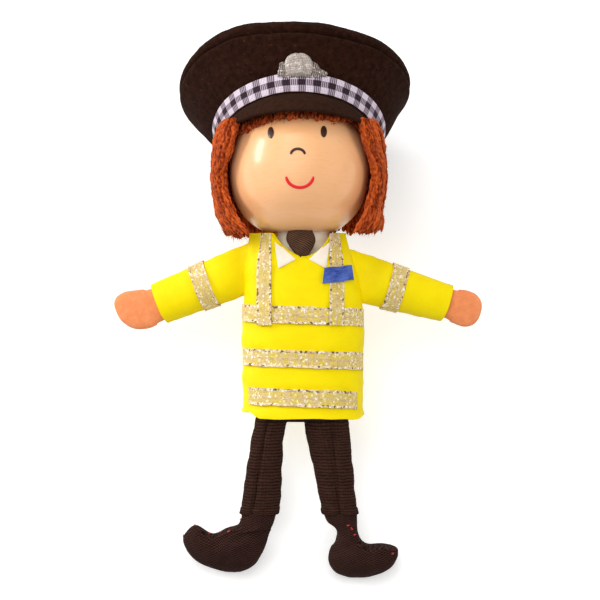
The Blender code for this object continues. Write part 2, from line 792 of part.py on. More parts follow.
def front_patch(name, left_rail, right_rail, columns, lift, thickness, material, body):
    """A flat thing sewn on the front, between two rails of (x, y) points, following the jacket's skin."""
    outer, inner = [], []
    for column in range(columns + 1):
        share = column / columns
        top_side, under_side = [], []
        for (x0, y0), (x1, y1) in zip(left_rail, right_rail):
            x, y = mix(x0, x1, share), mix(y0, y1, share)
            turn = turn_at(x, y)
            top_side.append(jacket_point(turn, y, lift + thickness))
            under_side.append(jacket_point(turn, y, lift))
        outer.append(top_side)
        inner.append(under_side)
    return place(name, slab(outer, inner), material, body)


def add_bands(body, finishes):
    for name, level in (
        ("chest_band", CHEST_BAND_LEVEL),
        ("waist_band", WAIST_BAND_LEVEL),
        ("hem_band", HEM_BAND_LEVEL),
    ):
        reach = 0.90 if name == "hem_band" else 0.985
        outer, inner = [], []
        for column in range(BAND_COLUMNS + 1):
            share = mix(-1.0, 1.0, column / BAND_COLUMNS)
            x = math.sin(share * math.pi / 2) * reach * half_width(level)
            middle = level - BAND_DIP / 2 * share
            top_side, under_side = [], []
            for row in range(5):
                y = middle + BAND_RIBBON_WIDTH * (0.5 - row / 4)
                rib = 0.00015 if row in (0, 2, 4) else 0.0
                turn = turn_at(x, y)
                top_side.append(jacket_point(turn, y, CLEARANCE + RIBBON + rib))
                under_side.append(jacket_point(turn, y, CLEARANCE))
            outer.append(top_side)
            inner.append(under_side)
        place(name, slab(outer, inner), finishes["metal_ribbon"], body)


def add_braces(body, finishes):
    foot = CHEST_BAND_LEVEL + BAND_RIBBON_WIDTH / 2 + BAND_DIP / 2 + CLEARANCE
    for name, low_x, top_x in (
        ("brace_left", BRACE_LEFT, BRACE_TOP_LEFT),
        ("brace_right", BRACE_RIGHT, BRACE_TOP_RIGHT),
    ):
        levels = (NECKLINE - CLEARANCE, BRACE_LEVEL, mix(BRACE_LEVEL, foot, 0.5), foot)
        middles = (top_x, low_x, low_x, low_x)
        widths = (BRACE_TOP_WIDTH, BRACE_WIDTH, BRACE_WIDTH, BRACE_WIDTH)
        left = [(x - w / 2, y) for x, w, y in zip(middles, widths, levels)]
        right = [(x + w / 2, y) for x, w, y in zip(middles, widths, levels)]
        left, right = curve_through(left, 4), curve_through(right, 4)
        front_patch(name, left, right, 4, RIBBON_SEAT, RIBBON, finishes["metal_ribbon"], body)


def add_collar_and_tab(body, finishes):
    v_foot = NECKLINE - V_DEPTH
    for name, side in (("collar_left", -1.0), ("collar_right", 1.0)):
        inner_edge = [
            (side * COLLAR_TOP_INNER[0], NECKLINE + COLLAR_TOP_INNER[1]),
            (side * COLLAR_POINT_INNER[0], v_foot + COLLAR_POINT_INNER[1]),
        ]
        outer_edge = [
            (side * COLLAR_TOP_OUTER[0], NECKLINE + COLLAR_TOP_OUTER[1]),
            (side * COLLAR_POINT_OUTER[0], v_foot + COLLAR_POINT_OUTER[1]),
        ]
        left, right = (outer_edge, inner_edge) if side < 0 else (inner_edge, outer_edge)
        left, right = curve_through(left, 4), curve_through(right, 4)
        front_patch(name, left, right, 4, CLEARANCE, SHIRT_THICKNESS, finishes["white"], body)
    lift = RIBBON_SEAT + RIBBON + CLEARANCE
    left = [(x, BRACE_LEVEL + y) for x, y in TAB_LEFT_EDGE]
    right = [(x, BRACE_LEVEL + y) for x, y in TAB_RIGHT_EDGE]
    front_patch("blue_tab", left, right, 6, lift, TAB_THICKNESS, finishes["blue"], body)


def add_neck(body, finishes):
    tube_top = NECK_BORE_DEPTH - CHIN_DROP - CLEARANCE
    bore = NECK_TUBE_RADIUS - NECK_TUBE_WALL
    profile = [
        (NECK_TUBE_RADIUS, NECK_TUBE_FOOT),
        (NECK_TUBE_RADIUS, tube_top),
        (bore, tube_top),
        (bore, NECK_TUBE_FOOT),
    ]
    mesh = revolve(profile, 24, closed=True)
    mesh.transform(Matrix.Translation((-BODY_SHIFT, 0.0, 0.0)) @ Matrix.Rotation(-math.pi / 2, 4, "X"))
    place("neck_tube", mesh, finishes["skin_felt"], body)

    outer, inner = [], []
    for column in range(15):
        turn = math.radians(mix(14.0, 166.0, column / 14))
        for grid, grow in ((outer, SHIRT_THICKNESS), (inner, 0.0)):
            x = (SHIRT_HALF_WIDTH + grow) * math.cos(turn)
            z = (SHIRT_HALF_DEPTH + grow) * math.sin(turn) ** (2.0 / SECTION_POWER)
            grid.append([Vector((x, y, z)) for y in (NECKLINE, SHIRT_FOOT)])
    place("shirt_front", slab(outer, inner), finishes["white"], body)

    depth = SHIRT_HALF_DEPTH + SHIRT_THICKNESS + CLEARANCE + TIE_THICKNESS / 2
    rings = [
        oval(NECKLINE - down, left, right, TIE_THICKNESS / 2 * full, depth, TIE_SIDES)
        for down, left, right, full in TIE_OUTLINE
    ]
    place("tie", loft(rings), finishes["tie"], body)


# Arms


def sleeve_size(y, length):
    share = min(max(-y / length, 0.0), 1.0)
    wide = mix(SLEEVE_ROOT_HALF_WIDTH, CUFF_HALF_WIDTH, share**1.3)
    return wide, mix(SLEEVE_ROOT_HALF_DEPTH, CUFF_HALF_DEPTH, share)


def add_arm(side_name, body, finishes, former, shoulder, lean, length, ribbon_at, hand_length, hand_bend):
    side = -1.0 if side_name == "left" else 1.0
    droop = math.radians(ARM_DROOP_DEGREES)
    turn = side * (math.pi / 2 - math.radians(lean))
    arm = empty(f"arm_{side_name}", body, shoulder)
    arm.rotation_euler = (Matrix.Rotation(side * droop, 3, "Y") @ Matrix.Rotation(turn, 3, "Z")).to_euler()

    rings = []
    for y in [SLEEVE_OVERRUN, *[-length * step / 6 for step in range(6)], CUFF_ROLL_LENGTH - length, -length]:
        wide, deep = sleeve_size(y, length)
        if y == -length:
            wide, deep = wide - CUFF_ROLL, deep - CUFF_ROLL
        rings.append(oval(y, -wide, wide, deep))
    socket_wide = HAND_STEM_HALF_WIDTH + CLEARANCE
    socket_deep = HAND_HALF_DEPTH + CLEARANCE
    for y in (-length, CUFF_SOCKET_DEPTH - length):
        rings.append(oval(y, -socket_wide, socket_wide, socket_deep))
    sleeve = place(f"sleeve_{side_name}", loft(rings), finishes["satin"], arm)
    combine(sleeve, former, "DIFFERENCE")

    outer, inner = [], []
    for row in range(5):
        y = -ribbon_at + SLEEVE_RIBBON_WIDTH * (0.5 - row / 4)
        wide, deep = sleeve_size(y, length)
        rib = 0.00015 if row in (0, 2, 4) else 0.0
        for grid, lift in ((outer, CLEARANCE + RIBBON + rib), (inner, CLEARANCE)):
            grid.append(oval(y, -wide - lift, wide + lift, deep + lift))
    outer = [list(column) for column in zip(*outer)]
    inner = [list(column) for column in zip(*inner)]
    place(f"sleeve_band_{side_name}", slab(outer, inner, wrap=True), finishes["metal_ribbon"], arm)

    stem = CUFF_SOCKET_DEPTH - CLEARANCE
    rings = []
    for y, full in ((stem, 0.80), (stem - CUFF_ROLL, 1.0), (0.0, 1.0)):
        wide = HAND_STEM_HALF_WIDTH * full
        rings.append(oval(y - length, -wide, wide, HAND_HALF_DEPTH * full, sides=HAND_SIDES))
    for share, full in HAND_OUTLINE:
        offset = hand_bend * share
        wide = HAND_HALF_WIDTH * full
        deep = HAND_HALF_DEPTH * min(1.0, 0.35 + full)
        y = -length - hand_length * share
        rings.append(oval(y, offset - wide, offset + wide, deep, sides=HAND_SIDES))
    place(f"hand_{side_name}", loft(rings), finishes["skin_felt"], arm)


# Legs


def leg_mesh(stations, seam):
    rings = [oval(y, left, right, LEG_HALF_DEPTH * full, seam=seam) for y, left, right, full in stations]
    return loft(rings)


def add_legs(body, finishes):
    drop = math.radians(LEG_DROP_DEGREES)
    hips = empty("hips", body, (-BODY_SHIFT, HIP_LEVEL, HIP_FORWARD), (drop, 0.0, 0.0))
    lean = SEAT_TOP * math.tan(drop)
    front = HEM_HALF_DEPTH - SATIN - CLEARANCE - SEAT_HALF_DEPTH - HIP_FORWARD - lean
    seat_rings = []
    for y in (SEAT_TOP, SEAT_TOP / 3, -SEAT_TOP / 6, -SEAT_FOOT):
        deep = SEAT_HALF_DEPTH if y > -SEAT_FOOT else SEAT_FOOT_HALF_DEPTH
        centre = front if y > -SEAT_TOP / 6 else 0.55 * front
        seat_rings.append(oval(y, BODY_SHIFT - SEAT_HALF_WIDTH, BODY_SHIFT + SEAT_HALF_WIDTH, deep, centre))
    trousers = place("trousers", loft(seat_rings), finishes["cord"], hips)
    legs = (("left", LEFT_LEG_SEAM, LEFT_LEG_OUTLINE), ("right", RIGHT_LEG_SEAM, RIGHT_LEG_OUTLINE))
    for name, seam, outline in legs:
        leg = helper(place(f"{name}_leg_form", leg_mesh(outline, seam), finishes["cord"], hips))
        combine(trousers, leg, "UNION")

    ankle = TROUSER_HEM - CLEARANCE
    shoes = []
    for name, outline in (("shoe_left", LEFT_SHOE_OUTLINE), ("shoe_right", RIGHT_SHOE_OUTLINE)):
        rings = []
        for down, left, right, full in outline:
            sole = ease(SHOE_SOLE_START, SHOE_SOLE_FULL, down)
            deep = mix(SHOE_HALF_DEPTH, SHOE_SOLE_HALF_DEPTH, sole) * full
            rings.append(oval(ankle - down, left, right, deep))
        shoes.append(place(name, loft(rings), finishes["twill"], hips))
    return shoes


# Lying down


def world_points(things):
    bpy.context.view_layer.update()
    return [thing.matrix_world @ vertex.co for thing in things for vertex in thing.data.vertices]


def lay_on_back(puppet, cap, shoes):
    """Tilt the puppet until cap and shoes touch one level plane, then put it on the ground, centred."""
    low, high = 0.0, math.pi / 3
    for _ in range(30):
        tilt = 0.5 * (low + high)
        puppet.rotation_euler.x = tilt
        cap_low = min(point.z for point in world_points([cap]))
        shoes_low = min(point.z for point in world_points(shoes))
        low, high = (tilt, high) if cap_low < shoes_low else (low, tilt)
    pieces = [thing for thing in bpy.data.objects if thing.type == "MESH" and not thing.hide_render]
    points = world_points(pieces)
    puppet.location = (
        -0.5 * (min(p.x for p in points) + max(p.x for p in points)),
        -0.5 * (min(p.y for p in points) + max(p.y for p in points)),
        -min(p.z for p in points) - FELT_PRESS,
    )


def press_flat(things, material):
    """Flatten what dips below the ground, as soft felt does where it rests."""
    reach = 4 * CROWN_RADIUS
    mesh = bmesh.new()
    bmesh.ops.create_cube(mesh, size=2 * reach)
    mesh.transform(Matrix.Translation((0.0, 0.0, -reach)))
    ground = helper(place("ground_plane_cutter", mesh, material, None))
    for thing in things:
        combine(thing, ground, "DIFFERENCE")


def build():
    clear_scene()
    finishes = make_finishes()
    puppet = empty("puppet")
    body = empty("body", puppet, (BODY_SHIFT, 0.0, 0.0))
    hat = empty("hat", puppet, turn=(-math.radians(90.0 + HAT_LEAN_DEGREES), 0.0, 0.0))

    add_ball(puppet, finishes)
    add_face(puppet, finishes)
    add_hair(puppet, finishes)
    add_hat(hat, finishes)
    add_jacket(body, finishes)
    former = jacket_former(body, finishes["satin"])
    add_bands(body, finishes)
    add_braces(body, finishes)
    add_collar_and_tab(body, finishes)
    add_neck(body, finishes)
    add_arm("left", body, finishes, former, *LEFT_ARM)
    add_arm("right", body, finishes, former, *RIGHT_ARM)
    shoes = add_legs(body, finishes)
    cap = bpy.data.objects["hat_top_panel"]
    lay_on_back(puppet, cap, shoes)
    press_flat([cap, *shoes], finishes["felt"])


build()
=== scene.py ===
"""Looks of a finger puppet that lies on its back, from its felt cap and yarn hair to its stuffed shoes."""

import logging
import math
import random
from collections.abc import Callable, Sequence
from dataclasses import dataclass, field
from enum import Enum

import bpy
from mathutils import Matrix, Vector, noise


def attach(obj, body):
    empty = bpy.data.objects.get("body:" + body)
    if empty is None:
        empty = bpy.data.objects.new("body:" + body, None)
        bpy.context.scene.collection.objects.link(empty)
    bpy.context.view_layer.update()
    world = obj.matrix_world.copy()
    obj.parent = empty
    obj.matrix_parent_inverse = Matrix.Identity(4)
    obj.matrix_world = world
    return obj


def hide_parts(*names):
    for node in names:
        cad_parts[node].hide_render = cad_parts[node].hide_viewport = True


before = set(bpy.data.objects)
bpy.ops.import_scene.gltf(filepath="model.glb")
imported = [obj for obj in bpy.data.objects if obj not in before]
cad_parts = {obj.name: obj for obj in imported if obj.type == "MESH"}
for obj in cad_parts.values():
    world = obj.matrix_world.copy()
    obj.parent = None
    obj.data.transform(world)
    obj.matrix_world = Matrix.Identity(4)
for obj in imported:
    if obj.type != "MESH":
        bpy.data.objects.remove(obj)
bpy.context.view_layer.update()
LOG = logging.getLogger("puppet")

Rule = Callable[[float, float], Vector]
Colour = tuple[float, float, float]

MM = 0.001
BALL = 17.5
PRESSED = 0.02
TAU = math.tau


class Side(Enum):
    """A side of the puppet, as seen by someone who looks at its face."""

    LEFT = -1.0
    RIGHT = 1.0

    @property
    def word(self) -> str:
        """The side's name in a node's name."""
        return self.name.lower()


def srgb(red: int, green: int, blue: int) -> Colour:
    """A screen colour from 0 to 255 as a linear one."""
    return tuple(c / 3294.6 if c <= 10 else ((c / 255 + 0.055) / 1.055) ** 2.4 for c in (red, green, blue))


def mix(a: float, b: float, share: float) -> float:
    """The value a share of the way from a to b."""
    return a + (b - a) * share


def ease(low: float, high: float, value: float) -> float:
    """A smooth step from 0 at low to 1 at high."""
    share = min(max((value - low) / (high - low), 0.0), 1.0)
    return share * share * (3.0 - 2.0 * share)


def glide(stations: Sequence[Sequence[float]], share: float) -> list[float]:
    """A smooth curve through rows of numbers.

    Args:
        stations: Rows of equal length, evenly spaced along the curve.
        share: How far along, from 0 to 1.

    Returns:
        The interpolated row.
    """
    last = len(stations) - 1
    at = min(max(share, 0.0), 1.0) * last
    i = min(int(at), last - 1)
    t = at - i
    rows = [stations[min(max(i + k, 0), last)] for k in (-1, 0, 1, 2)]
    return [
        0.5 * (
            2 * b + (c - a) * t + (2 * a - 5 * b + 4 * c - d) * t * t + (3 * b - a - 3 * c + d) * t * t * t
        )
        for a, b, c, d in zip(*rows)
    ]


def ripple(x: float, y: float, z: float, size: float) -> float:
    """Smooth noise from -1 to 1 with lumps of about that size, in millimetres."""
    return noise.noise(Vector((x, y, z)) / size)


# Where the puppet lies


@dataclass(frozen=True)
class Pose:
    """The puppet's own frame, in millimetres from the ball's middle: X across, Y up it, Z out of its face."""

    centre: Vector
    tilt: float

    @classmethod
    def from_frame(cls) -> "Pose":
        """Reads the middle of the ball and the slope of the jacket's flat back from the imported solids.

        Returns:
            The frames, as one value.
        """
        ball = [v.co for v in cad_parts["head_ball"].data.vertices]
        middle = 0.5 * (min(p.y for p in ball) + max(p.y for p in ball))
        crown = [p for p in ball if p.y > middle]
        x = 0.5 * (min(p.x for p in ball) + max(p.x for p in ball))
        top = max(p.y for p in crown)
        high = max(p.z for p in crown)
        back = max(
            (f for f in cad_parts["jacket"].data.polygons if f.normal.z < -0.8), key=lambda f: f.area
        )
        return cls(Vector((x, top - BALL * MM, high - BALL * MM)), math.atan2(back.normal.y, -back.normal.z))

    @property
    def puppet(self) -> Matrix:
        """From the puppet's frame to the world."""
        return Matrix.Translation(self.centre) @ Matrix.Rotation(self.tilt, 4, "X") @ Matrix.Scale(MM, 4)

    @property
    def body(self) -> Matrix:
        """The jacket's centre line lies a millimetre to the right of the ball's."""
        return self.puppet @ Matrix.Translation((1.0, 0.0, 0.0))

    @property
    def cap(self) -> Matrix:
        """Z up the axis of the cap, which leans back 35 degrees."""
        return self.puppet @ Matrix.Rotation(-math.radians(125.0), 4, "X")

    @property
    def hips(self) -> Matrix:
        """The legs hang back 9 degrees from the front of the jacket's hem.

        Returns:
            From the legs' frame to the world.
        """
        return (
            self.puppet
            @ Matrix.Translation((0.0, -60.0, 4.2))
            @ Matrix.Rotation(math.radians(9.0), 4, "X")
        )

    def arm(self, side: Side, shoulder: Vector, lean: float) -> Matrix:
        """An arm's frame, with Y from the hand to the shoulder.

        Args:
            side: Which arm.
            shoulder: Its shoulder, from the jacket's centre line.
            lean: Degrees that it hangs below level.

        Returns:
            The arm's matrix.
        """
        droop = Matrix.Rotation(side.value * math.radians(8.0), 4, "Y")
        turn = Matrix.Rotation(side.value * math.radians(90.0 - lean), 4, "Z")
        return self.body @ Matrix.Translation(shoulder) @ droop @ turn


# Shader maths


class Val:
    """A socket of a material's nodes, on which arithmetic adds Math nodes."""

    def __init__(self, paint: "Paint", socket: bpy.types.NodeSocket) -> None:
        """Keeps the socket and the material it is in."""
        self.paint = paint
        self.socket = socket

    def math(self, operation: str, *values: "Val | float") -> "Val":
        """A Math node with this value and the others as its inputs."""
        node = self.paint.node("ShaderNodeMath", {"operation": operation}, dict(enumerate((self, *values))))
        return Val(self.paint, node.outputs[0])

    def __add__(self, other: "Val | float") -> "Val":
        """This value plus the other."""
        return self.math("ADD", other)

    def __sub__(self, other: "Val | float") -> "Val":
        """This value less the other."""
        return self.math("SUBTRACT", other)

    def __rsub__(self, other: float) -> "Val":
        """The other less this value."""
        return (self * -1.0).math("ADD", other)

    def __mul__(self, other: "Val | float") -> "Val":
        """This value times the other."""
        return self.math("MULTIPLY", other)

    __radd__ = __add__
    __rmul__ = __mul__

    def step(self, low: float, high: float) -> "Val":
        """A smooth step from 0 at low to 1 at high, or from 1 to 0 where low is the larger.

        Args:
            low: The value that gives 0.
            high: The value that gives 1.

        Returns:
            The step.
        """
        first, second = (0.0, 1.0) if low < high else (1.0, 0.0)
        values = {
            "Value": self, "From Min": min(low, high), "From Max": max(low, high), "To Min": first,
            "To Max": second
        }
        node = self.paint.node("ShaderNodeMapRange", {"interpolation_type": "SMOOTHSTEP"}, values)
        return Val(self.paint, node.outputs["Result"])

    def wave(self, length: float) -> "Val":
        """A sine from 0 to 1 with this wavelength."""
        return (self * (TAU / length)).math("SINE") * 0.5 + 0.5


class Paint:
    """A material being mixed."""

    def __init__(self, name: str) -> None:
        """Starts from a plain Principled shader.

        Args:
            name: The material's name.
        """
        self.material = bpy.data.materials.new(name)
        self.material.use_nodes = True
        self.tree = self.material.node_tree
        self.shader = self.tree.nodes["Principled BSDF"]

    def node(self, kind: str, settings: dict[str, object], inputs: dict[str | int, object]) -> bpy.types.Node:
        """Adds any node.

        Args:
            kind: The node's type.
            settings: What is set on the node itself, before its sockets.
            inputs: Numbers, colours or sockets by the input's name or place.

        Returns:
            The new node.
        """
        made = self.tree.nodes.new(kind)
        for key, value in settings.items():
            setattr(made, key, value)
        for key, value in inputs.items():
            self.feed(made.inputs[key], value)
        return made

    def feed(self, socket: bpy.types.NodeSocket, value: object) -> None:
        """Links a value to a socket, or sets the socket to a number or colour.

        Args:
            socket: The socket.
            value: A wrapped socket, a number or a colour.
        """
        if isinstance(value, Val):
            self.tree.links.new(value.socket, socket)
        elif isinstance(value, tuple) and len(value) == 3 and socket.type == "RGBA":
            socket.default_value = (*value, 1.0)
        else:
            socket.default_value = value

    def set(self, **inputs: object) -> "Paint":
        """Feeds the shader's own sockets, named with _ for a space.

        Args:
            inputs: What each socket is fed.

        Returns:
            The same paint.
        """
        for key, value in inputs.items():
            self.feed(self.shader.inputs[key.replace("_", " ")], value)
        return self

    def coords(self, kind: str = "Object") -> Val:
        """Object coordinates in metres, or the piece's own UV in millimetres."""
        return Val(self, self.node("ShaderNodeTexCoord", {}, {}).outputs[kind])

    def split(self, vector: Val) -> tuple[Val, Val, Val]:
        """The X, Y and Z of a vector."""
        made = self.node("ShaderNodeSeparateXYZ", {}, {0: vector})
        return tuple(Val(self, out) for out in made.outputs)

    def stretch(self, vector: Val, by: tuple[float, float, float]) -> Val:
        """A vector with each of its numbers multiplied."""
        made = self.node("ShaderNodeMapping", {}, {"Vector": vector, "Scale": by})
        return Val(self, made.outputs[0])

    def noise(self, vector: Val, scale: float, detail: float = 2.0, rough: float = 0.5) -> Val:
        """Smooth noise around 0.5."""
        values = {"Vector": vector, "Scale": scale, "Detail": detail, "Roughness": rough}
        return Val(self, self.node("ShaderNodeTexNoise", {}, values).outputs["Fac"])

    def cells(self, vector: Val, scale: float) -> Val:
        """A random value from 0 to 1 for each small cell."""
        made = self.node("ShaderNodeTexVoronoi", {}, {"Vector": vector, "Scale": scale})
        return self.split(Val(self, made.outputs["Color"]))[0]

    def blend(self, share: "Val | float", first: object, second: object) -> Val:
        """A colour a share of the way from the first to the second."""
        made = self.node("ShaderNodeMix", {"data_type": "RGBA"}, {0: share, 6: first, 7: second})
        return Val(self, made.outputs[2])

    def bump(self, height: Val, depth: float, strength: float = 1.0) -> "Paint":
        """Relief of that depth in metres."""
        made = self.node("ShaderNodeBump", {}, {"Height": height, "Strength": strength, "Distance": depth})
        return self.set(Normal=Val(self, made.outputs["Normal"]))


@dataclass(frozen=True)
class Varnish:
    """Flesh paint under a glossy varnish, with the wood's grain faintly in it."""

    slot: str = "painted_wood"

    def make(self) -> bpy.types.Material:
        """Mixes the material.

        Returns:
            The material.
        """
        paint = Paint("varnished flesh paint")
        place = paint.coords()
        broad = paint.noise(place, 60.0, 2.0)
        grain = paint.noise(paint.stretch(place, (300.0, 2200.0, 500.0)), 1.0, 3.0)
        colour = paint.blend(broad.step(0.25, 0.75), srgb(250, 186, 130), srgb(252, 194, 142))
        colour = paint.blend(grain.step(0.45, 0.8) * 0.22, colour, srgb(232, 160, 102))
        paint.set(
            Base_Color=colour, Roughness=0.4, Coat_Weight=0.6, Coat_Roughness=0.2, Specular_IOR_Level=0.35
        )
        paint.bump(grain * 0.5 + broad * 0.6, 0.00004, 0.4)
        return paint.material


@dataclass(frozen=True)
class FacePaint:
    """A brush mark on the face."""

    name: str
    colour: Colour
    slot: str

    def make(self) -> bpy.types.Material:
        """Mixes the material."""
        return Paint(self.name).set(Base_Color=self.colour, Roughness=0.38, Coat_Weight=0.3).material


@dataclass(frozen=True)
class Felt:
    """Pressed wool felt: no weave, a matted surface and specks of lint."""

    name: str
    slot: str
    deep: Colour
    light: Colour
    lint: float = 0.0
    sheen: float = 0.01
    gloss: float = 0.03

    def make(self) -> bpy.types.Material:
        """Mixes the material.

        Returns:
            The material.
        """
        paint = Paint(self.name)
        place = paint.coords()
        clumps = paint.noise(place, 700.0, 3.0, 0.6)
        fibres = paint.noise(paint.stretch(place, (1.0, 1.6, 1.3)), 3200.0, 3.0, 0.7)
        colour = paint.blend((clumps * 0.6 + fibres * 0.4).step(0.30, 0.72), self.deep, self.light)
        if self.lint:
            specks = paint.cells(place, 2600.0).step(0.985, 0.995) * self.lint
            colour = paint.blend(specks, colour, srgb(116, 84, 70))
        paint.set(Base_Color=colour, Roughness=0.95, Specular_IOR_Level=self.gloss)
        paint.set(Sheen_Weight=self.sheen, Sheen_Roughness=0.6)
        paint.bump(clumps * 0.6 + fibres * 0.5, 0.00022, 0.8)
        return paint.material


@dataclass(frozen=True)
class Wool:
    """Fuzzy two-tone yarn, darker or lighter by its own shade attribute: each strand's tone, with painted
    shade in its valleys and at the pile's roots.
    """

    slot: str = "yarn"

    def make(self) -> bpy.types.Material:
        """Mixes the material.

        Returns:
            The material.
        """
        paint = Paint("rust wool yarn")
        place = paint.coords()
        shade = Val(paint, paint.node("ShaderNodeAttribute", {"attribute_name": "shade"}, {}).outputs["Fac"])
        fibres = paint.noise(paint.stretch(place, (1.0, 0.5, 1.0)), 1700.0, 3.0, 0.7)
        # The shade attribute holds each strand's tone plus painted shade between the tufts and at the roots
        # of the pile.
        share = (shade * 0.62 + fibres * 0.5).step(0.28, 0.82)
        colour = paint.blend(share, srgb(104, 24, 0), srgb(216, 98, 40))
        paint.set(
            Base_Color=colour, Roughness=0.95, Specular_IOR_Level=0.08, Sheen_Weight=0.06,
            Sheen_Roughness=0.5
        )
        paint.bump(fibres, 0.0004, 0.9)
        return paint.material


@dataclass(frozen=True)
class Satin:
    """Plain close-woven satin, with fine threads in its own UV."""

    name: str
    slot: str
    colour: Colour
    shade: Colour
    roughness: float = 0.55
    rib: float = 0.3

    def make(self) -> bpy.types.Material:
        """Mixes the material.

        Returns:
            The material.
        """
        paint = Paint(self.name)
        uv = paint.coords("UV")
        across, along, _ = paint.split(uv)
        threads = along.wave(self.rib)
        crossing = across.wave(self.rib)
        cloud = paint.noise(uv, 0.22, 3.0, 0.6)
        slubs = paint.noise(paint.stretch(uv, (0.5, 6.0, 1.0)), 1.0, 2.0)
        colour = paint.blend((cloud * 0.6 + slubs * 0.4).step(0.32, 0.68), self.shade, self.colour)
        paint.set(Base_Color=colour, Roughness=self.roughness, Specular_IOR_Level=0.16)
        paint.bump(threads * 0.5 + crossing * 0.3 + slubs * 0.6, 0.00004, 0.5)
        return paint.material


@dataclass(frozen=True)
class Braid:
    """Open metallic ribbon: solid edges and middle, cross threads between them, and painted glints of flat
    foil.
    """

    name: str
    slot: str
    half: float
    gap: Colour
    thread: Colour
    foil: Colour
    dark: Colour
    cover: float = 0.5

    def make(self) -> bpy.types.Material:
        """Mixes the material.

        Returns:
            The material.
        """
        paint = Paint(self.name)
        uv = paint.coords("UV")
        across, along, _ = paint.split(uv)
        off = across.math("ABSOLUTE")
        edge = off.step(self.half - 0.70, self.half - 0.55)
        middle = off.step(0.28, 0.16) * 0.9
        sway = paint.noise(uv, 0.9, 2.0) * 0.5
        rungs = (along + sway).wave(0.47).step(0.62 - self.cover * 0.5, 0.80 - self.cover * 0.3)
        rails = across.wave(0.55).step(0.55, 0.85) * 0.5
        metal = edge.math("MAXIMUM", middle).math("MAXIMUM", rungs).math("MAXIMUM", rails)
        bead = paint.cells(paint.stretch(uv, (1.5, 1.9, 1.0)), 1.0)
        flakes_and_glints = paint.cells(paint.stretch(uv, (2.2, 2.1, 1.0)), 1.0)
        ply = paint.cells(paint.stretch(uv, (5.0, 2.2, 1.0)), 1.0)
        tone = paint.blend(ply.step(0.0, 1.0) * 0.6, self.thread, self.foil)
        tone = paint.blend(bead.step(0.45, 0.75) * (edge * 0.75 + 0.15), tone, self.foil)
        # Painted glints: a few foil cells coloured near white as painted highlights.
        tone = paint.blend(flakes_and_glints.step(0.83, 0.88) * 0.95, tone, srgb(255, 252, 240))
        tone = paint.blend(flakes_and_glints.step(0.21, 0.15) * (edge * 0.75 + 0.14), tone, self.dark)
        colour = paint.blend(metal, self.gap, tone)
        paint.set(
            Base_Color=colour, Metallic=metal * 0.12, Roughness=bead * 0.3 + 0.32, Specular_IOR_Level=0.5
        )
        paint.bump(metal * 0.7 + bead * 0.5 + ply * 0.2, 0.00012, 0.6)
        return paint.material


@dataclass(frozen=True)
class Gingham:
    """Black and white checked ribbon, three rows of squares wide."""

    slot: str = "gingham"
    square: float = 2.0
    row: float = 1.35

    def make(self) -> bpy.types.Material:
        """Mixes the material.

        Returns:
            The material.
        """
        paint = Paint("gingham ribbon")
        uv = paint.coords("UV")
        across, along, _ = paint.split(uv)
        warp = across.math("ABSOLUTE").step(self.row * 0.53, self.row * 0.47)
        weft = along.wave(2 * self.square).step(0.46, 0.54)
        ply = (along.wave(0.42) * 0.6 + across.wave(0.36) * 0.4).step(0.25, 0.75)
        fuzz = paint.noise(uv, 3.0, 3.0, 0.7)
        white = paint.blend(ply, srgb(196, 180, 196), srgb(238, 226, 238))
        dark = paint.blend(ply, srgb(30, 20, 28), srgb(66, 50, 60))
        grey = paint.blend(
            (along.wave(0.5) * 0.6 + fuzz * 0.5).step(0.35, 0.75), srgb(84, 70, 82), srgb(186, 170, 184)
        )
        either = paint.blend(warp.math("MAXIMUM", weft), white, grey)
        colour = paint.blend(warp * weft, either, dark)
        paint.set(Base_Color=colour, Roughness=0.85, Specular_IOR_Level=0.2)
        paint.bump(ply + fuzz, 0.0001, 0.7)
        return paint.material


@dataclass(frozen=True)
class Ribbed:
    """Corded or twilled cloth: ridges across its UV, square or slanting."""

    name: str
    slot: str
    deep: Colour
    light: Colour
    pitch: float
    slant: float = 0.0
    depth: float = 0.0002
    ridge: float = 0.55
    zigzag: bool = False

    def make(self) -> bpy.types.Material:
        """Mixes the material.

        Returns:
            The material.
        """
        paint = Paint(self.name)
        uv = paint.coords("UV")
        if self.zigzag:
            uv = paint.stretch(paint.coords(), (1000.0, 1000.0, 1000.0))
        across, along, deep = paint.split(uv)
        waver = paint.noise(uv, 0.8, 2.0) * ((1.1 - self.ridge) * self.pitch)
        if self.zigzag:
            across, along = across + deep * 0.45, along * 0.954 + deep * 0.75
            waver = waver * 0.4 + across.wave(1.9 * self.pitch) * (0.8 * self.pitch)
        cord = (along + across * self.slant + waver).wave(self.pitch)
        thread = (across - along * self.slant).wave(self.pitch * 0.8)
        fuzz = paint.noise(uv, 2.5, 3.0, 0.7)
        cloud = paint.noise(uv, 0.5, 2.0)
        tone = (
            cord * self.ridge + thread * 0.07 + fuzz * (0.83 - self.ridge) + cloud * 0.25
        ).step(0.25, 0.85)
        colour = paint.blend(tone, self.deep, self.light)
        paint.set(Base_Color=colour, Roughness=0.9, Specular_IOR_Level=0.07)
        paint.bump(cord * self.ridge + thread * 0.08 + fuzz * 0.5, self.depth, 0.9)
        return paint.material


# Modelling


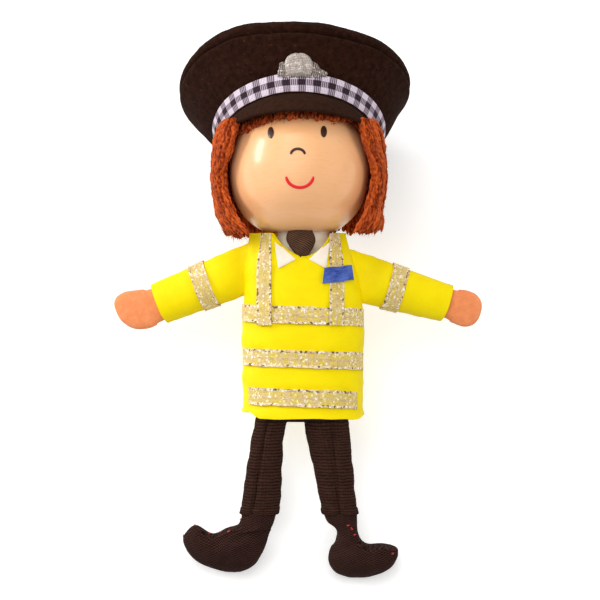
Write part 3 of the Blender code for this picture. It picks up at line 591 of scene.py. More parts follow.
@dataclass
class Bench:
    """Adds primitives, shapes them in edit mode and hands finished pieces over."""

    made: dict[object, bpy.types.Material] = field(default_factory=dict)

    @staticmethod
    def clear() -> None:
        """Deselects everything, in object mode."""
        if bpy.context.object and bpy.context.object.mode != "OBJECT":
            bpy.ops.object.mode_set(mode="OBJECT")
        bpy.ops.object.select_all(action="DESELECT")

    @staticmethod
    def pick(piece: bpy.types.Object) -> None:
        """Selects one piece alone and makes it active.

        Args:
            piece: The piece.
        """
        Bench.clear()
        piece.select_set(True)
        bpy.context.view_layer.objects.active = piece

    @staticmethod
    def tube(name: str, sides: int, rows: int, rule: Rule, uv: Rule | None = None) -> bpy.types.Object:
        """A disc that is extruded row by row into a closed tube and then drawn to its form.

        Args:
            name: The piece's name.
            sides: Points round it.
            rows: Steps along it.
            rule: Gives the point at a turn in radians and a share of the length.
            uv: Gives the UV there, in millimetres.

        Returns:
            The new piece.
        """
        Bench.clear()
        bpy.ops.mesh.primitive_circle_add(vertices=sides, radius=1.0, fill_type="NGON")
        piece = bpy.context.object
        piece.name = name
        bpy.ops.object.mode_set(mode="EDIT")
        for _ in range(rows):
            bpy.ops.mesh.extrude_region_move(TRANSFORM_OT_translate={"value": (0.0, 0.0, 1.0)})
        bpy.ops.mesh.select_all(action="DESELECT")
        bpy.ops.mesh.select_mode(type="EDGE")
        bpy.ops.mesh.select_non_manifold()
        bpy.ops.mesh.edge_face_add()
        bpy.ops.object.mode_set(mode="OBJECT")
        mesh = piece.data
        flat = [(math.atan2(v.co.y, v.co.x) % TAU, v.co.z / rows) for v in mesh.vertices]
        if uv:
            layer = mesh.uv_layers.active or mesh.uv_layers.new(name="UVMap")
            for face in mesh.polygons:
                first = flat[face.vertices[0]][0]
                for loop in face.loop_indices:
                    turn, share = flat[mesh.loops[loop].vertex_index]
                    turn += TAU * round((first - turn) / TAU) if len(face.vertices) == 4 else 0.0
                    layer.data[loop].uv = uv(turn, share)[:2]
        for vertex, (turn, share) in zip(mesh.vertices, flat):
            vertex.co = rule(turn, share)
        return piece

    @staticmethod
    def cloth(
        name: str, columns: int, rows: int, rule: Rule, uv: Rule, thick: float, offset: float = -1.0,
        wrap: bool = False
    ) -> bpy.types.Object:
        """A flat grid of cloth, drawn to its form and given its thickness.

        Args:
            name: The piece's name.
            columns: Squares across.
            rows: Squares along.
            rule: Gives the point at two shares from 0 to 1.
            uv: Gives the UV there, in millimetres.
            thick: Its thickness in millimetres.
            offset: Which way the thickness goes.
            wrap: Whether the first and last columns are sewn together.

        Returns:
            The new piece.
        """
        Bench.clear()
        bpy.ops.mesh.primitive_grid_add(x_subdivisions=columns, y_subdivisions=rows, size=1.0, calc_uvs=True)
        piece = bpy.context.object
        piece.name = name
        mesh = piece.data
        flat = [(v.co.x + 0.5, v.co.y + 0.5) for v in mesh.vertices]
        layer = mesh.uv_layers.active
        for loop in mesh.loops:
            layer.data[loop.index].uv = uv(*flat[loop.vertex_index])[:2]
        for vertex, shares in zip(mesh.vertices, flat):
            vertex.co = rule(*shares)
        if wrap:
            bpy.ops.object.mode_set(mode="EDIT")
            bpy.ops.mesh.select_all(action="SELECT")
            bpy.ops.mesh.remove_doubles(threshold=0.001)
            bpy.ops.object.mode_set(mode="OBJECT")
        solid = piece.modifiers.new("cloth", "SOLIDIFY")
        solid.thickness = thick
        solid.offset = offset
        bpy.ops.object.modifier_apply(modifier=solid.name)
        return piece

    @staticmethod
    def lathe(name: str, profile: Sequence[tuple[float, float]], steps: int) -> bpy.types.Object:
        """A line of radius and height that is spun once round Z.

        Args:
            name: The piece's name.
            profile: Points of radius and height.
            steps: Steps round it.

        Returns:
            The new piece.
        """
        Bench.clear()
        bpy.ops.mesh.primitive_plane_add(size=1.0)
        piece = bpy.context.object
        piece.name = name
        bpy.ops.object.mode_set(mode="EDIT")
        bpy.ops.mesh.select_mode(type="VERT")
        bpy.ops.mesh.select_all(action="SELECT")
        bpy.ops.mesh.merge(type="CENTER")
        last = (0.0, 0.0)
        for index, (radius, height) in enumerate(profile):
            shift = {"value": (radius - last[0], 0.0, height - last[1])}
            if index:
                bpy.ops.mesh.extrude_vertices_move(TRANSFORM_OT_translate=shift)
            else:
                bpy.ops.transform.translate(**shift)
            last = (radius, height)
        bpy.ops.mesh.select_all(action="SELECT")
        bpy.ops.mesh.spin(steps=steps, angle=TAU, center=(0.0, 0.0, 0.0), axis=(0.0, 0.0, 1.0))
        bpy.ops.mesh.select_all(action="SELECT")
        bpy.ops.mesh.remove_doubles(threshold=0.001)
        bpy.ops.object.mode_set(mode="OBJECT")
        return piece

    @staticmethod
    def draw(piece: bpy.types.Object, rule: Callable[[Vector], Vector]) -> bpy.types.Object:
        """Moves every vertex by a rule on its place.

        Args:
            piece: The piece.
            rule: Gives a new place from an old one.

        Returns:
            The same piece.
        """
        for vertex in piece.data.vertices:
            vertex.co = rule(vertex.co.copy())
        return piece

    @staticmethod
    def join(pieces: Sequence[bpy.types.Object], name: str) -> bpy.types.Object:
        """Several pieces made one.

        Args:
            pieces: The pieces, the one that is kept first.
            name: Its new name.

        Returns:
            The joined piece.
        """
        Bench.clear()
        for piece in pieces:
            piece.select_set(True)
        bpy.context.view_layer.objects.active = pieces[0]
        bpy.ops.object.join()
        pieces[0].name = name
        return pieces[0]

    def hand_over(
        self, piece: bpy.types.Object, place: Matrix, look: object, stands_for: Sequence[str],
        outward: bool = True
    ) -> bpy.types.Object:
        """Finishes a piece: its place, faces outwards, shading, material and the solids it stands for.

        What would sink below the table keeps a fiftieth of its depth, which leaves a flat spot there.

        Args:
            piece: The piece.
            place: The matrix of the frame it was modelled in.
            look: The finish it wears.
            stands_for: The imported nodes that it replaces.
            outward: Whether its faces are turned outwards again.

        Returns:
            The same piece.
        """
        piece.data.transform(place)
        for vertex in piece.data.vertices:
            if vertex.co.z < 0.0:
                vertex.co.z *= PRESSED
        self.pick(piece)
        if outward:
            bpy.ops.object.mode_set(mode="EDIT")
            bpy.ops.mesh.select_all(action="SELECT")
            bpy.ops.mesh.normals_make_consistent(inside=False)
            bpy.ops.object.mode_set(mode="OBJECT")
        bpy.ops.object.shade_smooth_by_angle(angle=math.radians(60.0))
        if look not in self.made:
            self.made[look] = look.make()
        piece.data.materials.clear()
        piece.data.materials.append(self.made[look])
        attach(piece, "root")
        if stands_for:
            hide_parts(*stands_for)
        LOG.info("%s: %d faces", piece.name, len(piece.data.polygons))
        return piece


BLACK_FELT = Felt("black-brown felt", "black_felt", srgb(28, 11, 6), srgb(52, 29, 20), lint=0.12)
PEAK_CLOTH = Felt("smooth peak cloth", "peak_cloth", srgb(42, 23, 15), srgb(56, 34, 23))
TAN_FELT = Felt("tan felt", "tan_felt", srgb(238, 138, 84), srgb(250, 158, 104), sheen=0.15, gloss=0.2)
YELLOW = Satin("bright yellow satin", "yellow_satin", srgb(250, 228, 0), srgb(246, 220, 0))
COTTON = Satin("white cotton", "white_cotton", srgb(255, 246, 232), srgb(246, 230, 210), 0.85)
BLUE = Satin("royal blue satin", "blue_satin", srgb(96, 122, 204), srgb(38, 60, 136), 0.4)
GOLD_BRAID = Braid(
    "woven metallic ribbon", "metal_ribbon", 2.15, srgb(228, 206, 26), srgb(206, 168, 118),
    srgb(246, 226, 190), srgb(84, 58, 28), 0.45
)
SILVER_BRAID = Braid(
    "silver ribbon", "silver_ribbon", 9.0, srgb(104, 92, 88), srgb(196, 178, 168), srgb(240, 230, 222),
    srgb(80, 68, 64), 0.7
)
DARK_BRAID = Braid(
    "open silver ribbon", "silver_ribbon", 9.0, srgb(48, 34, 30), srgb(134, 116, 110), srgb(204, 190, 182),
    srgb(36, 26, 24), 0.55
)
TIE_CLOTH = Ribbed(
    "ribbed black-brown ribbon", "tie_ribbon", srgb(46, 27, 17), srgb(98, 72, 56), 0.42, 0.4, 0.00012
)
CORD = Ribbed(
    "corded black-brown fabric", "corded_fabric", srgb(26, 12, 8), srgb(66, 43, 35), 0.75, ridge=0.3
)
TWILL = Ribbed("black-brown twill", "twill", srgb(24, 10, 7), srgb(64, 42, 37), 0.68, ridge=0.5, zigzag=True)
RED_THREAD = FacePaint("red thread", srgb(176, 24, 22), "twill")


# Head


@dataclass
class Head:
    """The painted wooden ball and the marks of its face."""

    bench: Bench
    place: Matrix
    chin: float = 16.0
    jaw_power: float = 2.32
    eyes: tuple[tuple[float, float], ...] = ((-6.95, 8.35), (6.1, 8.6))

    def spread(self, x: float, y: float) -> float:
        """How far a point is from the head's axis, by a rule that squares the jaw."""
        power = mix(2.0, self.jaw_power, ease(0.0, -8.0, y) if y < 0 else 0.0)
        return (abs(x) ** power + abs(y) ** power) ** (1.0 / power)

    def surface(self, x: float, y: float, lift: float = 0.0) -> Vector:
        """The point of the face in front of x and y."""
        out = self.spread(x, y)
        return Vector((x, y, math.sqrt(max(BALL**2 - out**2, 0.0)) + lift))

    def shape(self, point: Vector) -> Vector:
        """Turns the round ball into one with a squarer jaw and a flat chin.

        Args:
            point: A point of the round ball.

        Returns:
            Its place on the shaped one.
        """
        flat = math.hypot(point.x, point.y)
        grow = flat / max(self.spread(point.x, point.y), 1e-6) if flat > 1e-6 else 1.0
        y = point.y * grow
        if y < -self.chin + 0.6:
            y = -self.chin + 0.6 - 0.6 * math.tanh((-self.chin + 0.6 - y) / 0.6)
        return Vector((point.x * grow, y, point.z))

    def ball(self) -> None:
        """Builds the ball."""
        self.bench.clear()
        bpy.ops.mesh.primitive_uv_sphere_add(segments=96, ring_count=64, radius=BALL)
        piece = bpy.context.object
        piece.name = "painted_ball"
        self.bench.draw(piece, self.shape)
        self.bench.hand_over(piece, self.place, Varnish(), ["head_ball"])

    def mark(
        self, name: str, line: Callable[[float], tuple[float, float, float]], look: FacePaint, node: str
    ) -> None:
        """Lays a brush stroke on the ball.

        Args:
            name: The piece's name.
            line: Gives x, y and half width along the stroke.
            look: Its paint.
            node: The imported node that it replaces.
        """

        def rule(across: float, along: float) -> Vector:
            """A point of a painted stroke, just proud of the face.

            Args:
                across: Share of its width.
                along: Share of its length.

            Returns:
                The point.
            """
            x, y, half = line(along)
            ahead, behind = line(min(along + 0.01, 1.0)), line(max(along - 0.01, 0.0))
            way = Vector((ahead[0] - behind[0], ahead[1] - behind[1])).normalized()
            side = 2.0 * across - 1.0
            x, y = x - way.y * half * side, y + way.x * half * side
            return self.surface(x, y, 0.10 * (1.0 - side * side) - 0.01)

        piece = self.bench.cloth(name, 8, 40, rule, lambda s, t: Vector((s, t, 0.0)), 0.12)
        self.bench.hand_over(piece, self.place, look, [node])

    def face(self) -> None:
        """Paints the eyes, nose and mouth."""
        dark = FacePaint("dark brown paint", srgb(62, 34, 24), "dark_paint")
        red = FacePaint("red paint", srgb(232, 28, 40), "red_paint")
        for side, (x, y) in zip(Side, self.eyes):

            def eye(t: float, x: float = x, y: float = y) -> tuple[float, float, float]:
                """The middle and half width of an oval eye."""
                up = 2.0 * t - 1.0
                return x, y + 1.38 * up, 0.75 * math.sqrt(max(1.0 - up * up, 0.0004))

            self.mark(f"eye_mark_{side.word}", eye, dark, f"eye_{side.word}")

        def arc(
            centre: tuple[float, float], radii: tuple[float, float], first: float, last: float, half: float
        ) -> Callable[[float], tuple[float, float, float]]:
            """The line of a painted arc.

            Args:
                centre: Its middle.
                radii: Its radii across and up.
                first: Degrees where it starts.
                last: Degrees where it ends.
                half: Half the stroke's width.

            Returns:
                The rule of its line.
            """
            def line(t: float) -> tuple[float, float, float]:
                """A point of the arc, narrower at its ends.

                Args:
                    t: Share of the arc's length.

                Returns:
                    X, y and half the width.
                """
                turn = math.radians(mix(first, last, t))
                end = math.sqrt(max(1.0 - (2.0 * t - 1.0) ** 8, 0.01))
                return (
                    centre[0] + radii[0] * math.cos(turn), centre[1] + radii[1] * math.sin(turn), half * end
                )

            return line

        self.mark("nose_mark", arc((-0.3, 2.75), (1.75, 1.5), 172, 8, 0.27), dark, "nose_line")
        self.mark("mouth_mark", arc((0.2, -2.35), (3.35, 2.9), 184, 356, 0.34), red, "mouth_line")


# Hair


@dataclass
class Hair:
    """A bob of yarn strands glued round the ball, with a short fringe."""

    bench: Bench
    head: Head
    place: Matrix
    yarn: float = 0.66
    around: int = 12
    rng: random.Random = field(default_factory=lambda: random.Random(11))

    def template(self, name: str, rows: int) -> bpy.types.Object:
        """A straight strand that others are copied from.

        Args:
            name: Its name.
            rows: Steps along it.

        Returns:
            The strand.
        """

        def rule(turn: float, share: float) -> Vector:
            """A point of a tube of one by one."""
            return Vector((math.cos(turn), math.sin(turn), share))

        piece = self.bench.tube(name, self.around, rows, rule)
        piece.data.attributes.new("shade", "FLOAT", "POINT")
        return piece

    def lay(
        self, strand: bpy.types.Object, line: Callable[[float], Vector], radius: float
    ) -> bpy.types.Object:
        """Copies a strand along a line, with the tufts of its pile standing out of it and painted shade in
        the valleys between them.

        Args:
            strand: The straight strand.
            line: Gives the strand's middle along its length.
            radius: Its radius.

        Returns:
            The copy, with its own mesh.
        """
        mesh = strand.data.copy()
        piece = bpy.data.objects.new("strand", mesh)
        bpy.context.collection.objects.link(piece)
        rows = len(mesh.vertices) // self.around - 1
        start, tone = self.rng.uniform(0.0, 90.0), self.rng.uniform(-0.16, 0.16)
        frames = []
        for row in range(rows + 1):
            t = row / rows
            middle = line(t)
            way = (line(min(t + 0.02, 1.0)) - line(max(t - 0.02, 0.0))).normalized()
            out = Vector((middle.x, 0.0, middle.z)).normalized()
            across = way.cross(out).normalized()
            frames.append((middle, across, across.cross(way)))
        tone_and_valley_shade = mesh.attributes["shade"].data
        for vertex in mesh.vertices:
            row = min(round(vertex.co.z * rows), rows)
            c, s = vertex.co.x, vertex.co.y
            middle, across, up = frames[row]
            tuft = ripple(start + 1.1 * c, middle.y, 1.1 * s, 0.75)
            full = radius * (1.0 + 0.55 * tuft) * (1.0 - 0.65 * max(0.0, 10.0 * row / rows - 9.0) ** 2)
            vertex.co = middle + across * (full * c) + up * (full * s)
            # The shade attribute: the strand's own tone, plus painted shade in the valleys between the tufts
            # and painted light on their tops.
            tone_and_valley_shade[vertex.index].value = 0.5 + tone + 0.75 * tuft
        return piece

    def fuzz(self, lines: Sequence[Callable[[float], Vector]], count: int, name: str) -> bpy.types.Object:
        """The pile of the yarn: short fibres that stand off the strands, as a single mesh, with painted shade
        at their roots.

        Args:
            lines: The strands' middles.
            count: How many fibres.
            name: The piece's name.

        Returns:
            The new piece.
        """
        points, faces, fibre_tones_and_root_shade = [], [], []
        for _ in range(count):
            line = self.rng.choice(lines)
            t = self.rng.uniform(0.05, 1.0)
            start = line(t)
            way = (line(min(t + 0.05, 1.0)) - line(t - 0.04)).normalized()
            stray = Vector([self.rng.gauss(0.0, 1.0) for _ in range(3)]).normalized()
            bend = Vector([self.rng.gauss(0.0, 1.0) for _ in range(3)]).normalized()
            length = self.rng.uniform(0.3, 0.9) if self.rng.random() < 0.9 else self.rng.uniform(0.9, 1.8)
            side = way.cross(stray).normalized() * 0.07
            base = len(points)
            tone = self.rng.uniform(0.35, 1.0)
            for step in range(3):
                u = step / 2
                lean = (way * 0.8 + stray * 0.7) * (length * u) + bend * (0.25 * u * u)
                spot = start + stray * (self.yarn * 0.8) + lean
                thin = 1.0 - 0.7 * u
                points += [spot + side * thin, spot - side * thin, spot + stray * (0.08 * thin)]
                # Each fibre's own tone, painted darker at its root next to the strand as painted shade.
                fibre_tones_and_root_shade += [tone * (0.6 + 0.4 * u)] * 3
            for step in range(2):
                for k in range(3):
                    a, b = base + 3 * step + k, base + 3 * step + (k + 1) % 3
                    faces.append((a, b, b + 3, a + 3))
            faces += [(base + 2, base + 1, base), (base + 6, base + 7, base + 8)]
        mesh = bpy.data.meshes.new(name)
        mesh.from_pydata([tuple(p) for p in points], [], faces)
        shade = mesh.attributes.new("shade", "FLOAT", "POINT")
        for item, tone in zip(shade.data, fibre_tones_and_root_shade):
            item.value = tone
        piece = bpy.data.objects.new(name, mesh)
        bpy.context.collection.objects.link(piece)
        return piece

    def bob_line(self, azimuth: float, layer: float, end: float) -> Callable[[float], Vector]:
        """A long strand that hangs round the ball from under the cap.

        Args:
            azimuth: Degrees round the head from the middle of the face, negative on the left.
            layer: 0 next to the ball, 1 on the outside.
            end: The height of its tip.

        Returns:
            The strand's line.
        """
        side = math.copysign(1.0, azimuth)
        wobble = self.rng.uniform(0.0, 50.0)
        front = [(58.0,), (56.0,), (60.0,), (66.5,), (66.5,), (62.0,), (55.0,), (47.5,)]
        rho = [(17.4,), (19.0,), (19.5,), (19.8,), (19.7,), (19.1,), (18.1,), (16.5,)]
        root = mix(12.0, 3.0, ease(70.0, 150.0, abs(azimuth)))
        flick = 2.6 * self.rng.random() if side > 0 and abs(azimuth) < 100 else -0.9 * self.rng.random()

        def line(t: float) -> Vector:
            """A point of the strand's middle.

            Args:
                t: Share of the strand's length, from its root down.

            Returns:
                The point.
            """
            y = mix(root, end, t)
            share = (12.0 - y) / (12.0 + 17.5)
            start = glide(front, share)[0]
            fade = (180.0 - abs(azimuth)) / (180.0 - 64.0)
            angle = math.radians(180.0 - (180.0 - start) * fade)
            away = glide(rho, share)[0] + 1.25 * layer + flick * ease(-9.0, -17.0, y)
            away += 0.30 * ripple(wobble, y, 0.0, 3.0)
            angle += 0.026 * ripple(0.0, wobble, y, 3.0)
            return Vector((side * away * math.sin(angle), y, away * math.cos(angle)))

        return line

    def fringe_line(self, x: float, y: float) -> Callable[[float], Vector]:
        """A short strand on the forehead, from under the peak down to x and y.

        Args:
            x: Where its tip is across.
            y: The height of its tip.

        Returns:
            The strand's line.
        """
        wobble = self.rng.uniform(0.0, 50.0)
        lift = self.rng.uniform(0.35, 1.0)
        side = ease(9.0, 16.0, abs(x))

        def line(t: float) -> Vector:
            """A point of the strand's middle.

            Args:
                t: Share of the strand's length, from its root down.

            Returns:
                The point.
            """
            back = 1.0 - t
            px = x * (1.0 - 0.10 * back * (1.0 - side)) + 0.25 * ripple(wobble, t, 0.0, 0.5)
            py = y + 6.0 * back
            reach = math.hypot(px, py)
            scale = min(1.0, 17.3 / reach)
            skin = self.head.surface(px * scale, py * scale)
            return skin + skin.normalized() * (lift + mix(0.3, 1.8, side) * back)

        return line

    def build(self) -> None:
        """Lays all the strands, in four pieces as they are glued on."""
        long, short = self.template("long_strand", 60), self.template("short_strand", 16)
        edge = [
            (-17.0, 4.6), (-16.2, 6.2), (-14.9, 8.2), (-12.75, 9.2), (-10.75, 10.2), (-8.6, 11.2),
            (-6.5, 11.7), (-3.2, 12.0), (-0.25, 12.2), (3.75, 11.8), (6.0, 11.9), (8.4, 12.0), (10.8, 11.7),
            (12.6, 11.2), (14.4, 9.6), (15.8, 7.4), (16.6, 5.6),
        ]
        groups: dict[str, list[Callable[[float], Vector]]] = {
            "fringe": [], "left": [], "right": [], "back": []
        }
        for row, count in enumerate((52, 46)):
            for index in range(count):
                x, y = glide(edge, (index + self.rng.uniform(-0.3, 0.3)) / (count - 1))
                groups["fringe"].append(
                    self.fringe_line(x, y + self.rng.uniform(-0.3, 0.45) + 1.2 * row - 0.9)
                )
        for side in Side:
            for layer, step in ((0.0, 4.2), (0.8, 3.5), (1.3, 4.4)):
                azimuth = 64.0 + (1.8 if layer == 0.0 else 0.9 * layer)
                while azimuth < 180.0:
                    group = side.word if azimuth < 128.0 else "back"
                    end = (
                        -16.8
                        - self.rng.uniform(-0.7, 1.0)
                        + 0.5 * layer
                        + (0.8 if side is Side.RIGHT else 0.0)
                    )
                    groups[group].append(self.bob_line(side.value * azimuth, layer, end))
                    azimuth += step * self.rng.uniform(0.85, 1.15)
        look = Wool()
        for group, lines in groups.items():
            strand = short if group == "fringe" else long
            strands = [self.lay(strand, line, self.yarn * self.rng.uniform(0.9, 1.1)) for line in lines]
            piece = self.bench.join(strands, f"yarn_{group}")
            self.bench.hand_over(piece, self.place, look, [f"hair_{group}"], outward=False)
            pile = self.fuzz(lines, 2600 if group == "fringe" else 4600, f"pile_{group}")
            self.bench.hand_over(pile, self.place, look, [])
        bpy.data.objects.remove(long)
        bpy.data.objects.remove(short)


# Cap


@dataclass
class Cap:
    """The stuffed felt cap: crown of two panels, band, checked ribbon, peak and silver badge."""

    bench: Bench
    place: Matrix
    foot: float = 7.95
    band: float = 3.9
    narrow: float = 0.92
    radius: float = 20.7
    flare: float = 1.8
    crown: float = 28.7
    seam: float = 21.4

    def band_radius(self, height: float) -> float:
        """The band's outer radius at a height."""
        return self.radius + self.flare * (height - self.foot) / self.band

    def point(self, radius: float, height: float, azimuth: float) -> Vector:
        """A point round the cap, with the azimuth in radians from the front."""
        return Vector((self.narrow * radius * math.sin(azimuth), -radius * math.cos(azimuth), height))

    def soften(self, point: Vector) -> Vector:
        """The slack of stuffed felt: it rises at the right and the front left, and droops at the back left.

        Args:
            point: A point of the turned crown.

        Returns:
            Its place on the soft one.
        """
        radius = math.hypot(point.x, point.y)
        rim = ease(22.5, 28.7, radius)
        across = point.x * mix(self.narrow, 1.0, rim)
        swell = ease(12.0, 28.0, point.x) * (1.0 + 2.6 * ease(-8.0, 16.0, point.y))
        swell += 1.4 * math.exp(-(((point.x + 16.0) / 9.0) ** 2)) * ease(0.0, 18.0, -point.y)
        rise = ease(self.foot + self.band, self.seam, point.z) * (1.9 + 2.8 * point.y / self.crown + swell)
        slack = 0.45 * ripple(point.x, point.y, point.z, 14.0) + 0.22 * ripple(point.y, point.z, point.x, 5.0)
        droop = -0.6 * ease(5.0, 30.0, -point.x) * ease(0.0, 20.0, point.y) * rim
        out = 1.0 + 0.012 * rim * ripple(point.x, 3.0, point.y, 18.0)
        nap = 0.12 * ripple(point.x, point.y, point.z, 1.3)
        height = point.z + rise + droop + slack * mix(0.35, 1.0, rim) + nap
        return Vector((across * out - 0.9 * rim, point.y * out, height))

    def panels(self) -> None:
        """The domed top and the flared under panel, turned in to each other along the seam."""
        low = self.foot + self.band
        top_line = [
            (self.crown - 1.3, self.seam + 0.15), (self.crown - 0.5, self.seam + 0.35),
            (self.crown + 0.45, self.seam + 1.2), (self.crown + 0.35, self.seam + 2.6),
            (self.crown - 1.0, self.seam + 4.1), (self.crown - 4.0, self.seam + 5.4),
            (self.crown - 10.0, self.seam + 6.3), (self.crown - 18.0, self.seam + 6.6),
            (0.0, self.seam + 6.4),
        ]
        start = self.band_radius(low)
        under_line = [
            (start - 0.9, low - 0.6), (start + 0.3, low + 0.5),
            (mix(start, self.crown, 0.40), mix(low, self.seam, 0.29)),
            (mix(start, self.crown, 0.78), mix(low, self.seam, 0.66)), (self.crown + 0.3, self.seam - 1.1),
            (self.crown - 0.1, self.seam - 0.2), (self.crown - 1.3, self.seam + 0.1),
        ]
        for name, line, steps, node in (
            ("crown_top", top_line, 44, ["hat_top_panel", "hat_stuffing"]),
            ("crown_under", under_line, 36, ["hat_under_panel"]),
        ):
            profile = [tuple(glide(line, i / steps)) for i in range(steps + 1)]
            profile[-1] = line[-1]
            piece = self.bench.lathe(name, profile, 240)
            solid = piece.modifiers.new("felt", "SOLIDIFY")
            solid.thickness = 0.8
            solid.offset = -1.0
            self.bench.pick(piece)
            bpy.ops.object.modifier_apply(modifier=solid.name)
            self.bench.draw(piece, self.soften)
            self.bench.hand_over(piece, self.place, BLACK_FELT, node)

    def ring(
        self, name: str, low: float, high: float, lift: float, thick: float, look: object, node: str
    ) -> None:
        """A strip that goes round the band and is joined at the back.

        Args:
            name: The piece's name.
            low: The height of its lower edge.
            high: The height of its upper edge.
            lift: How far its skin stands off the band.
            thick: Its thickness.
            look: Its finish.
            node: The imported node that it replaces.
        """

        def rule(around: float, up: float) -> Vector:
            """A point of the strip.

            Args:
                around: Share of the way round.
                up: Share of its height.

            Returns:
                The point.
            """
            azimuth = TAU * (around - 0.5)
            height = mix(low, high, up) + 0.10 * ripple(6.0 * around, 8.0 * up, lift, 0.5)
            bulge = (
                0.10 * math.sin(math.pi * up)
                + 0.08 * ripple(20.0 * math.sin(azimuth), 20.0 * math.cos(azimuth), up, 3.0)
            )
            return self.point(self.band_radius(height) + lift + bulge, height, azimuth)

        def uv(around: float, up: float) -> Vector:
            """The strip laid flat."""
            return Vector(((up - 0.5) * (high - low), TAU * 21.6 * around + 0.4, 0.0))

        piece = self.bench.cloth(name, 220, 8, rule, uv, thick, offset=1.0, wrap=True)
        self.bench.hand_over(piece, self.place, look, [node])

    def peak(self) -> None:
        """The smooth crescent over the forehead."""

        def edge(share: float) -> float:
            """How far the peak spreads, from 0 at its tips to 1 in the middle."""
            return max(math.cos(share * math.pi / 2), 0.0) ** 0.8

        def rule(around: float, down: float) -> Vector:
            """A point of the peak.

            Args:
                around: Share of the way from tip to tip.
                down: Share of the way from the band to the edge.

            Returns:
                The point.
            """
            share = 2.0 * around - 1.0
            spread = edge(share)
            drop = 0.5 + 6.6 * spread
            height = self.foot - 0.35 - drop * down
            bow = 2.6 * spread * (down + 0.25 * math.sin(math.pi * down))
            bow += 0.12 * ripple(9.0 * share, 5.0 * down, 0.0, 2.0)
            return self.point(self.radius + 0.3 + bow, height, math.radians(76.0 * share))

        piece = self.bench.cloth(
            "cap_peak", 60, 12, rule, lambda s, t: Vector((40 * s, 8 * t, 0)), 0.8, offset=1.0
        )
        bevel = piece.modifiers.new("rounded edge", "BEVEL")
        bevel.width = 0.25
        bevel.segments = 3
        bevel.angle_limit = math.radians(50.0)
        self.bench.pick(piece)
        bpy.ops.object.modifier_apply(modifier=bevel.name)
        self.bench.hand_over(piece, self.place, PEAK_CLOTH, ["hat_peak"])

    def badge(self) -> None:
        """A gathered scrap of silver ribbon: a full knot in the middle of flat ends."""
        brim = self.foot + self.band

        def lay(x: float, height: float, out: float) -> Vector:
            """A point over the ribbon and the crown above it."""
            base = self.band_radius(min(height, brim)) + 0.75 + 0.72 * max(height - brim, 0.0)
            return self.point(base + out, height, x / 21.0)

        def flat(across: float, up: float) -> Vector:
            """The flat ends, lower towards the right tip.

            Args:
                across: Share of its width.
                up: Share of its height.

            Returns:
                The point.
            """
            x = mix(-5.0, 6.7, across)
            top = 2.1 * ease(-5.1, -4.3, x) if x < 0.0 else 2.3 * min(max((7.0 - x) / 4.0, 0.0), 1.0)
            low = brim - 0.5 - 0.7 * math.exp(-((x / 4.4) ** 6)) + 0.10 * math.sin(4.0 * x)
            height = mix(low, brim + top + 0.15 * ripple(x, 0.0, 3.0, 1.2), up)
            return lay(x, height, 0.55 + 0.15 * math.sin(2.6 * x + 5.0 * up))

        def knot(across: float, up: float) -> Vector:
            """The knot, squarish and full.

            Args:
                across: Share of its width.
                up: Share of its height.

            Returns:
                The point.
            """
            x = mix(-2.8, 2.75, across)
            corner = 1.0 - 0.16 * abs(2.0 * up - 1.0) ** 3
            top = (
                3.4 * (1.0 - 0.20 * abs(x / 2.8) ** 4)
                + 0.25 * ripple(x, 2.0, 3.0, 1.0)
                - 0.5 * ease(0.8, 2.7, x)
            )
            height = brim + mix(-0.7, top, up)
            folds = 0.22 * math.sin(2.4 * x + 4.0 * up) + 0.25 * ripple(x, height, 4.0, 1.1)
            round_off = (1.0 - abs(x / 2.85) ** 6) * (1.0 - abs(2.0 * up - 1.0) ** 5)
            return lay(x * corner, height, 0.6 + (0.85 + 1.3 * folds) * max(round_off, 0.0) ** 0.5)

        def uv(across: float, up: float) -> Vector:
            """The ribbon runs up and down."""
            return Vector(((up - 0.5) * 5.0, 14.0 * across, 0.0))

        piece = self.bench.cloth("silver_ends", 60, 16, flat, uv, 0.35, offset=1.0)
        self.bench.hand_over(piece, self.place, DARK_BRAID, [])
        piece = self.bench.cloth("silver_badge", 44, 30, knot, uv, 0.4, offset=1.0)
        self.bench.hand_over(piece, self.place, SILVER_BRAID, ["hat_badge"])

    def build(self) -> None:
        """Builds the cap from the crown down."""
        self.panels()
        top = self.foot + self.band
        self.ring("cap_band", self.foot - 0.5, top + 0.3, 0.0, 0.8, BLACK_FELT, "hat_band")
        self.ring("gingham_ribbon", self.foot - 0.25, top - 0.05, 0.85, 0.35, Gingham(), "hat_ribbon")
        self.peak()
        self.badge()


# Jacket


